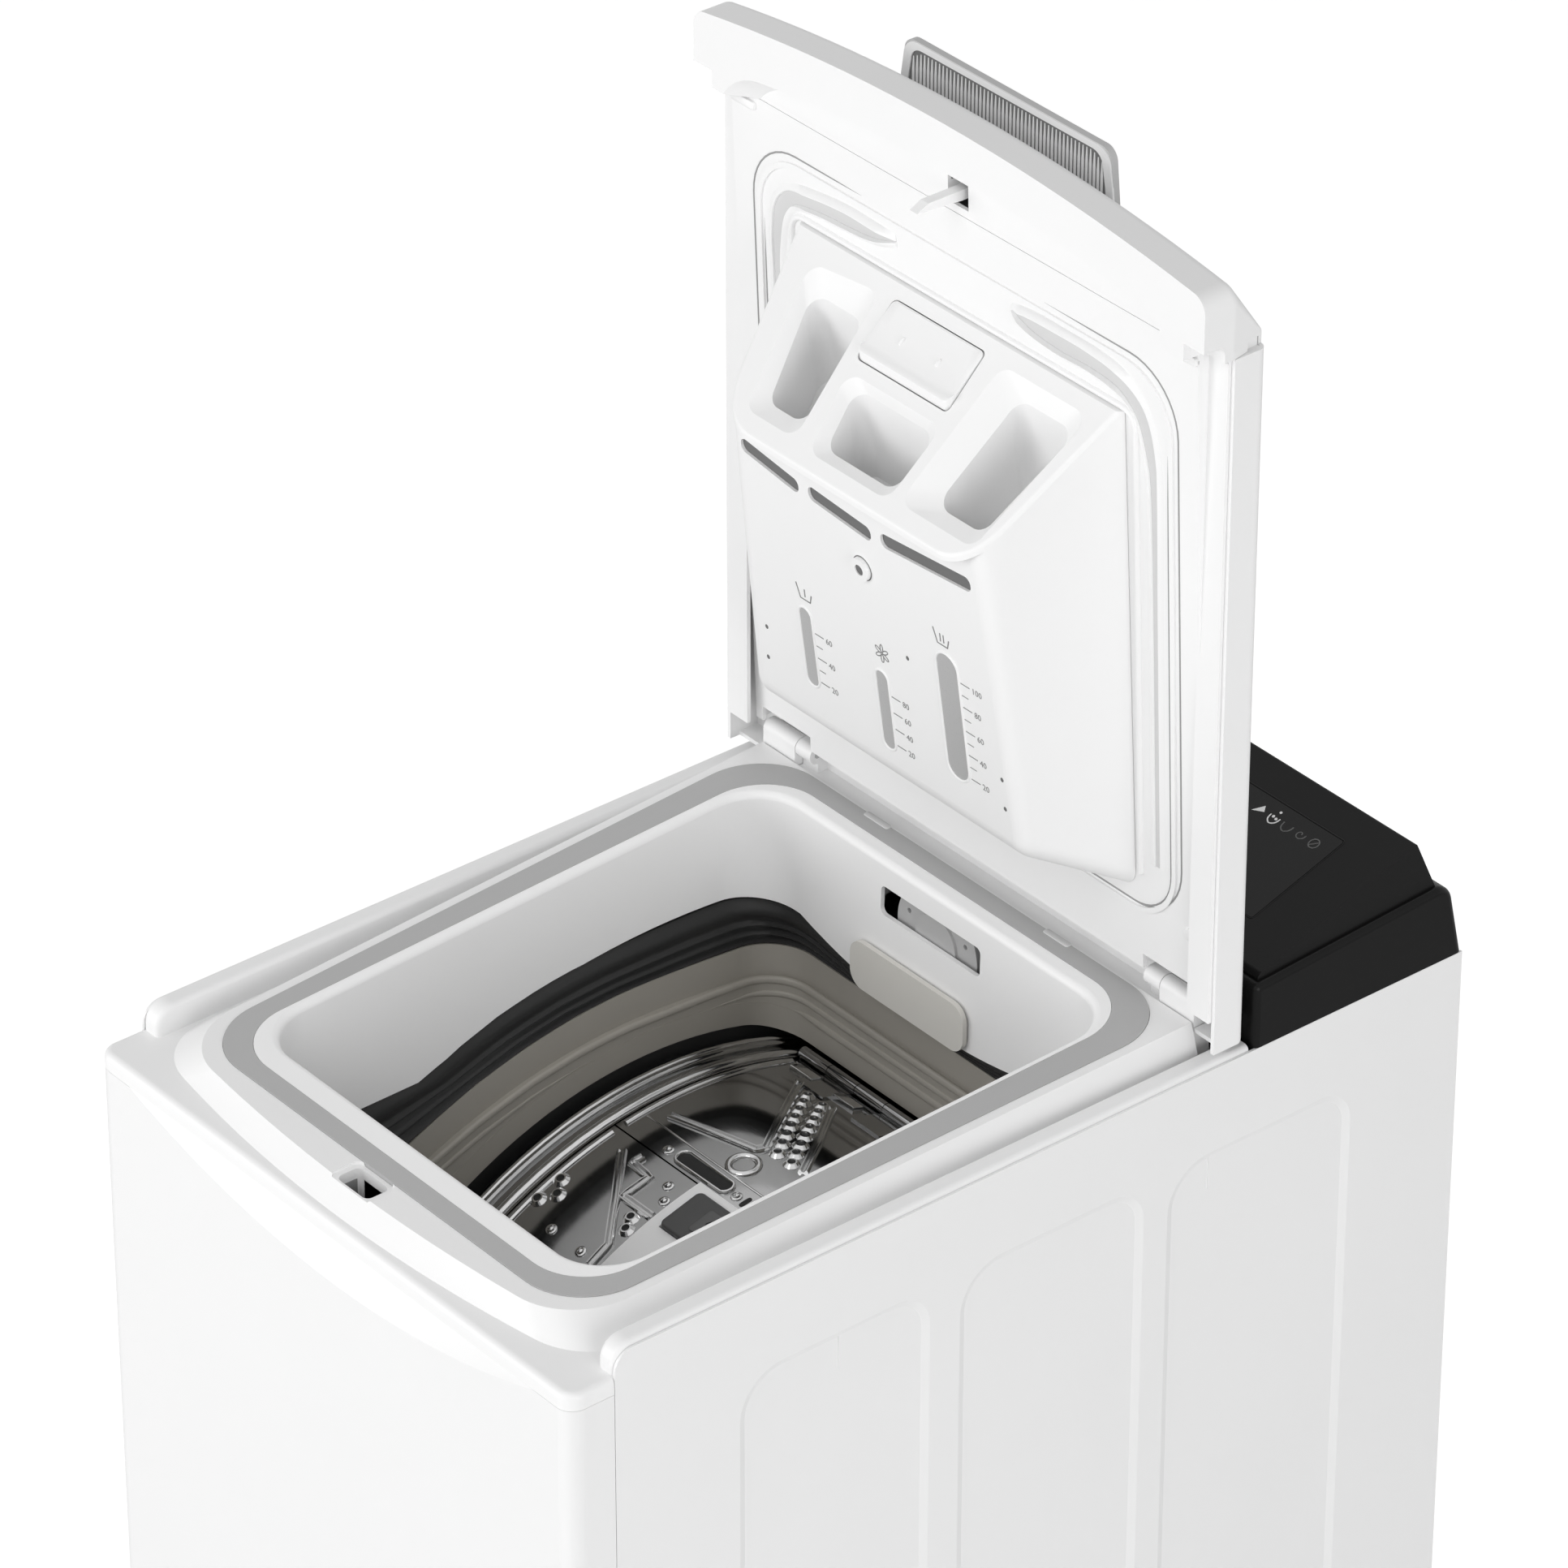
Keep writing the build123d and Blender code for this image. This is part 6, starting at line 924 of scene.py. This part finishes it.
def flap_lip(angle, section):
    """A bead across a flap."""
    line = fine_line([(-FLAP_LIP_HALF, angle), (FLAP_LIP_HALF, angle)], 4)
    return on_surface(on_drum, line, section)


def front_flap():
    """Pressings of the front flap."""
    edges = flap_sides(*FRONT_SPAN) + [flap_lip(FRONT_SPAN[0], FLAP_EDGE)]
    flap_pressings("front_flap", FRONT_RIBS, FRONT_CONES, FRONT_RIVETS, edges, [])


# Latch slots in the rear flap: middle, angle, half of the straight part and half sizes of the round ends
LATCH_X, LATCH_ANGLE, LATCH_HALF, LATCH_END_X, LATCH_END_ANGLE = 40, -8.5, 17, 5, 1.2
# Its seam, pressed rings, hinge tabs and three dark dots
SEAM_ANGLE, RING_X, RING_ANGLE, RING_RADIUS = -6.4, 30, -4, 8.2
TABS, TAB_HALF, TAB_FRONT = (-88, -52, 52, 88), 9, 16.9
DOTS, DOT_ANGLE = (-5, 1, 7), -8.6


def rear_flap():
    """Pressings, rings, latch slots and hinge tabs of the rear flap."""
    cones = [place for row in REAR_CONE_ROWS for place in fine_line(row, CONES_IN_ROW - 1)]
    extra = flap_sides(*REAR_SPAN)
    extra.append(flap_lip(SEAM_ANGLE, half_round(1.4, 0.6, 0.3, 4)))
    for x in (-RING_X, RING_X):
        ring = round_outline(x, RING_ANGLE, RING_RADIUS, 24)
        extra.append(on_surface(on_drum, ring, half_round(4.4, 2, 0.4, 6), closed=True))
    # Painted shade: dark patches inside the latch slots and three dots
    dark = []
    for middle in (-LATCH_X, LATCH_X):
        ends = oval(middle, LATCH_ANGLE, LATCH_END_X, LATCH_END_ANGLE, 16)
        right, left = range(-3, 4), range(4, 13)
        line = [(ends[i][0] + LATCH_HALF, ends[i][1]) for i in right]
        line += [(ends[i][0] - LATCH_HALF, ends[i][1]) for i in left]
        extra.append(on_surface(on_drum, line, half_round(2.4, 1.8, 0.4, 5), closed=True))
        dark.append(slab(on_drum, line, -0.3, 0.3))
    dark += [slab(on_drum, oval(x, DOT_ANGLE, 1.5, 1, 12, 0.6), -0.3, 0.3) for x in DOTS]
    for x in TABS:
        tab = rectangle(x - TAB_HALF, x + TAB_HALF, TAB_FRONT, REAR_SPAN[1])
        extra.append(slab(on_drum, tab, -0.4, 2.2, 0.6))
    flap_pressings("rear_flap", REAR_RIBS, cones, REAR_RIVETS, extra, dark)


# Drain holes: rows, angle of the first and step, then holes in a row, pitch, farthest place and radius
HOLE_ROWS, HOLE_ANGLE, HOLE_STEP = 26, 34, 10.4
HOLES_IN_ROW, HOLE_PITCH, HOLE_FAR, HOLE_RADIUS = 11, 20, 100, 1.9
# Rolled beads: places along the drum, and how far the outer ones stand off it
BEAD_X, END_BEAD_X, END_BEAD_OUT, BEAD_STEPS = 113, 126.5, 3, 96


def drum_details():
    """Drain holes round the drum as dark discs of painted shade, and the rolled beads near its ends."""
    holes = []
    for row in range(HOLE_ROWS):
        shift = HOLE_PITCH / 2 if row % 2 else 0
        for k in range(HOLES_IN_ROW):
            x = -HOLE_FAR + k * HOLE_PITCH + shift
            if x <= HOLE_FAR:
                hole = round_outline(x, HOLE_ANGLE + row * HOLE_STEP, HOLE_RADIUS, 12)
                holes.append(slab(on_drum, hole, -0.4, 0.15))
    piece("drum_drain_hole_shade", holes, "stainless", "drum", mat="hole_painted_shade")
    beads = []
    for surface, x, section in ((on_drum, BEAD_X, half_round(6, 2.2, 0.4, 6)),
                                (raised(on_drum, END_BEAD_OUT), END_BEAD_X, half_round(4, 1, 0.4, 5))):
        for side in (-1, 1):
            line = [(side * x, 360 * i / BEAD_STEPS) for i in range(BEAD_STEPS)]
            beads.append(on_surface(surface, line, section, closed=True))
    piece("drum_rolled_beads", beads, "stainless", "drum", mat="pressed_steel", sharp=50)


BUTTON_ANGLE, BUTTON_RADIUS, PAD_HIGH = -15.5, 247, 0.8


def on_button(u, v, h):
    """A point on the latch button's flat top, v towards the rear, h off it."""
    a = radians(BUTTON_ANGLE)
    r = BUTTON_RADIUS + h
    return vec(u, AXIS_Y + r * sin(a) + v * cos(a), AXIS_Z + r * cos(a) - v * sin(a))


def latch_details():
    """A raised pad with plain chevrons on the latch button, the chevrons near black as painted shade of
    engraved lines.
    """
    pad = slab(on_button, rounded(12, -8, 9, 2, 5), -0.4, PAD_HIGH, 0.6)
    piece("button_pad", [pad], "dark_plastic", "latch_button", mat="pad_grey", sharp=40)
    chevrons = [[(u + 2.4, -4), (u, 0.5), (u + 2.4, 5)] for u in (-1, 3, 7)]
    lines = chevrons + [[(12.4, -4), (12.4, 5)]]
    marks = [on_surface(raised(on_button, PAD_HIGH), line, stroke(0.9, 0.25)) for line in lines]
    piece("button_chevrons", marks, "dark_plastic", "latch_button", mat="groove_painted_shade", sharp=50)


# Heights over the fascia
GLASS_HIGH, KEY_HIGH, KNOB_HIGH = 0.2, 1.6, 15.6
glass = raised(fascia, GLASS_HIGH)


def bowl(x, y):
    """A plain bowl on the display."""
    r = 3.6
    line = [(x - r, y + r * 0.5), (x - r * 0.8, y - r * 0.4), (x, y - r * 0.9), (x + r * 0.8, y - r * 0.4),
            (x + r, y + r * 0.5)]
    line = spline([vec(u, v, 0) for u, v in line], 4)
    return on_surface(glass, [(p.x, p.y) for p in line], stroke(0.8))


def display_marks():
    """Lit and unlit marks on the display, and the fine edge round it."""
    lit = [print_mark(glass, [(104.5, 233.6), (111.5, 236.3), (108.9, 239.6)]), bowl(119.1, 235.8)]
    for u, v, r in ((118, 237, 0.9), (120.6, 236.4, 0.9), (119.4, 241, 0.8)):
        lit.append(print_mark(glass, oval(u, v, r, r, 10)))
    piece("display_marks_lit", lit, "display_black", "cabinet", mat="icon_white")
    reach = [0.6 + 0.14 * k for k in range(22)]
    swirl = [(139.8 + r * cos(k / 3.2), 236.4 + r * sin(k / 3.2)) for k, r in enumerate(reach)]
    dim = [bowl(129.5, 235.9), on_surface(glass, swirl, stroke(0.7))]
    dim.append(ring_shape(glass, 150.8, 236, 3.4, 2.7, -PRINT_HIGH, PRINT_HIGH))
    dim.append(on_surface(glass, [(148.6, 233.8), (153, 238.2)], stroke(0.7)))
    for x in (10, 28, 46, 64, 82):
        dim.append(on_surface(glass, [(x, 232), (x + 9, 232)], stroke(0.9)))
    piece("display_marks_dim", dim, "display_black", "cabinet", mat="icon_dim")
    edge = rounded(92.2, 181.4, 246.6, 2, 71.5, 4)
    bead = on_surface(fascia, edge, half_round(0.9, 0.25, 0.3, 4), closed=True)
    piece("display_edge", [bead], "black_console", "cabinet", sharp=60)


KNOB_X, KNOB_Y, KNOB_RADIUS, KNOB_LOW, KNOB_TALL = -110, 212, 24, 3, 10
KNOB_GRIPS, SCALE_TICKS, SCALE_TURN, SCALE_INNER, SCALE_OUTER = 40, 15, 300, 28, 32


def on_knob(u, v, h):
    """A point on the knob's cap, u and v from its middle."""
    return fascia(KNOB_X + u, KNOB_Y + v * FASCIA_COS, KNOB_HIGH + h)


def knob_details():
    """Scale round the program knob, its pointer and its grip."""
    ticks = []
    for k in range(SCALE_TICKS):
        a = radians(SCALE_TURN * (k / (SCALE_TICKS - 1) - 0.5))
        line = [(KNOB_X + r * sin(a), KNOB_Y + r * cos(a)) for r in (SCALE_INNER, SCALE_OUTER)]
        ticks.append(on_surface(fascia, line, stroke(0.9)))
    piece("knob_scale", ticks, "knob_grey", "cabinet", mat="icon_white")
    grips = [slab(on_knob, rounded(1.1, 6, 20, 1), -1, 0.5, 0.3)]
    for c, s in circle(1, KNOB_GRIPS):
        x, y = KNOB_X + KNOB_RADIUS * c, KNOB_Y + KNOB_RADIUS * s * FASCIA_COS
        path = [fascia(x, y, KNOB_LOW + KNOB_TALL * i / 3) for i in range(4)]
        out = fascia(c, KNOB_Y + s) - fascia(0, KNOB_Y)
        grips.append(sweep(path, [out] * 4, half_round(2.2, 0.8, 0.5, 5)))
    piece("knob_grip", grips, "knob_grey", "program_knob", sharp=50)


KEY_X, START_Y, OPTION_Y = -52, 228, 198


def key_marks():
    """A plain triangle on the start key and a ring on the option key."""
    top = raised(fascia, KEY_HIGH)
    arrow = [(KEY_X - 2.2, START_Y - 3), (KEY_X + 3.4, START_Y), (KEY_X - 2.2, START_Y + 3)]
    piece("start_mark", [print_mark(top, arrow)], "knob_grey", "start_key", mat="icon_white")
    option = ring_shape(top, KEY_X, OPTION_Y, 3.2, 2.4, -PRINT_HIGH, PRINT_HIGH)
    piece("option_mark", [option], "knob_grey", "option_key", mat="icon_white")


GROOVE_X, GROOVE_Z, GROOVE_SLOPE = 197.2, 900.6, 0.058


def fascia_groove():
    """Groove along each side of the console, a near-black bead as painted shade in the groove."""
    seams = []
    for side in (-1, 1):
        points = [vec(side * GROOVE_X, y, GROOVE_Z + (y - FASCIA_Y) * GROOVE_SLOPE)
                  for y in (158, 190, 220, 250, 280)]
        seams.append(sweep(points, [vec(side * 0.3, 0, 1)] * 5, half_round(1.6, 0.5, 0.6, 5)))
    piece("fascia_groove", seams, "dark_plastic", "cabinet", mat="groove_painted_shade")


# Walls of the hook slot's lining as two X and two Y, and their foot and height
SLOT_WALLS = ((-12.9, -12.5, -282.9, -268.1), (12.5, 12.9, -282.9, -268.1),
              (-12.5, 12.5, -282.9, -282.5), (-12.5, 12.5, -268.5, -268.1))
SLOT_WALL_Z, SLOT_WALL_TALL = 839, 14
NOTCHES, NOTCH_HALF, NOTCH_FRONT, NOTCH_REAR, TRIM_HIGH = (-75, 73), 10, 124.6, 128.6, 0.6


def top_details():
    """Lining of the hook slot, grey as painted shade inside the slot, and notches in the trim behind the
    mouth.
    """
    lining = [slab(level(SLOT_WALL_Z), rectangle(*wall), 0, SLOT_WALL_TALL) for wall in SLOT_WALLS]
    piece("hook_slot_lining", lining, "dark_plastic", "cabinet", mat="recess_painted_shade")
    notches = []
    for x in NOTCHES:
        line = rounded(NOTCH_HALF, NOTCH_FRONT, NOTCH_REAR, 1.5, x)
        notches.append(slab(raised(rim, TRIM_HIGH), line, -0.3, 0.5, 0.3))
    piece("trim_notches", notches, "grey_trim", "cabinet", mat="rim_pale")


# Pressed bays of the rear panel: middles, half width, foot, top and corner; then its louvres
BAYS, BAY_HALF, BAY_FOOT, BAY_TOP, BAY_CORNER = (-120, 0, 120), 46, 300, 640, 16
LOUVRES, LOUVRE_HALF, LOUVRE_FOOT, LOUVRE_PITCH = 7, 60, 690, 9


def rear_details():
    """Pressings and louvres on the rear panel."""
    beads = []
    for x in BAYS:
        line = rounded(BAY_HALF, BAY_FOOT, BAY_TOP, BAY_CORNER, x, 6)
        beads.append(on_surface(back, line, half_round(6, 1.4, 0.4, 6), closed=True))
    piece("rear_pressings", beads, "white_enamel", "cabinet", sharp=60)
    vents = []
    for k in range(LOUVRES):
        z = LOUVRE_FOOT + k * LOUVRE_PITCH
        line = [(-LOUVRE_HALF, z), (LOUVRE_HALF, z)]
        vents.append(on_surface(back, line, half_round(4, 1.2, 0.3, 6), swell=swelling(0.4, 9)))
    piece("rear_louvres", vents, "white_enamel", "cabinet", sharp=60)


def camera():
    """The photo's camera."""
    az, el = radians(CAMERA_AZIMUTH), radians(CAMERA_ELEVATION)
    right = vec(cos(az), sin(az), 0)
    away = vec(sin(az) * cos(el), -cos(az) * cos(el), sin(el))
    data = bpy.data.cameras.new("camera")
    data.lens = CAMERA_LENS
    data.sensor_width = SENSOR
    data.clip_end = CAMERA_REACH
    obj = new_object("camera", data)
    basis = Matrix((right, away.cross(right), away)).transposed().to_4x4()
    basis.translation = Vector(CAMERA_PLACE)
    obj.matrix_world = basis
    bpy.context.scene.camera = obj


def lamp(name, place, target, size, watts):
    """A large soft lamp aimed at a point."""
    data = bpy.data.lights.new(name, "AREA")
    data.shape = "DISK"
    data.size = size
    data.energy = watts
    obj = new_object(name, data)
    direction = Vector(target) - Vector(place)
    obj.rotation_euler = direction.to_track_quat("-Z", "Y").to_euler()
    obj.location = place


def floor_material():
    """Pale floor that shows white to the camera and keeps its shadow."""
    mat = material("floor", grey(244), 0.8, grain=120, spread=0.01)
    tree = mat.node_tree
    seen = add(tree, "LightPath", "Is Camera Ray")
    lift = add(tree, "Math", 0, {1: FLOOR_LIFT}, {0: seen}, operation="MULTIPLY")
    glow = add(tree, "Emission", 0, sources={"Strength": lift})
    both = add(tree, "AddShader", 0, sources={0: tree.nodes["Principled BSDF"].outputs[0], 1: glow})
    feed(tree, tree.nodes["Material Output"], sources={"Surface": both})
    return mat


def surround():
    """White surround that is weaker on matt surfaces than in reflections and to the camera."""
    world = bpy.data.worlds.new("studio")
    world.use_nodes = True
    tree = world.node_tree
    rays = [add(tree, "LightPath", "Is %s Ray" % kind) for kind in ("Glossy", "Transmission", "Camera")]
    shiny = add(tree, "Math", 0, sources={0: rays[0], 1: rays[1]}, operation="MAXIMUM")
    seen = add(tree, "Math", 0, sources={0: rays[2], 1: shiny}, operation="MAXIMUM")
    strength = add(tree, "MapRange", "Result", {"To Min": AMBIENT, "To Max": 1}, {"Value": seen})
    feed(tree, tree.nodes["Background"], {"Color": (1, 1, 1, 1)}, {"Strength": strength})
    return world


def studio():
    """Pale floor, white surround and soft lamps."""
    scene = bpy.context.scene
    scene.view_settings.view_transform = "Standard"
    scene.world = surround()
    mesh = bpy.data.meshes.new("floor")
    corners = rectangle(-FLOOR_HALF, FLOOR_HALF, -FLOOR_HALF, FLOOR_HALF)
    mesh.from_pydata([(x, y, 0) for x, y in corners], [], [(0, 1, 2, 3)])
    floor = new_object("floor", mesh)
    mesh.materials.append(floor_material())
    for settings in LAMPS:
        lamp(*settings)


bellows()
springs()
sump_hose()
collar_ridges()
collar_skirt()
handle_details()
lid_seal_lines()
lid_crescents()
lid_contours()
lid_end_walls()
tray_details()
tray_scales()
release_tile()
front_flap()
rear_flap()
drum_details()
latch_details()
display_marks()
knob_details()
key_marks()
fascia_groove()
top_details()
rear_details()
camera()
studio()
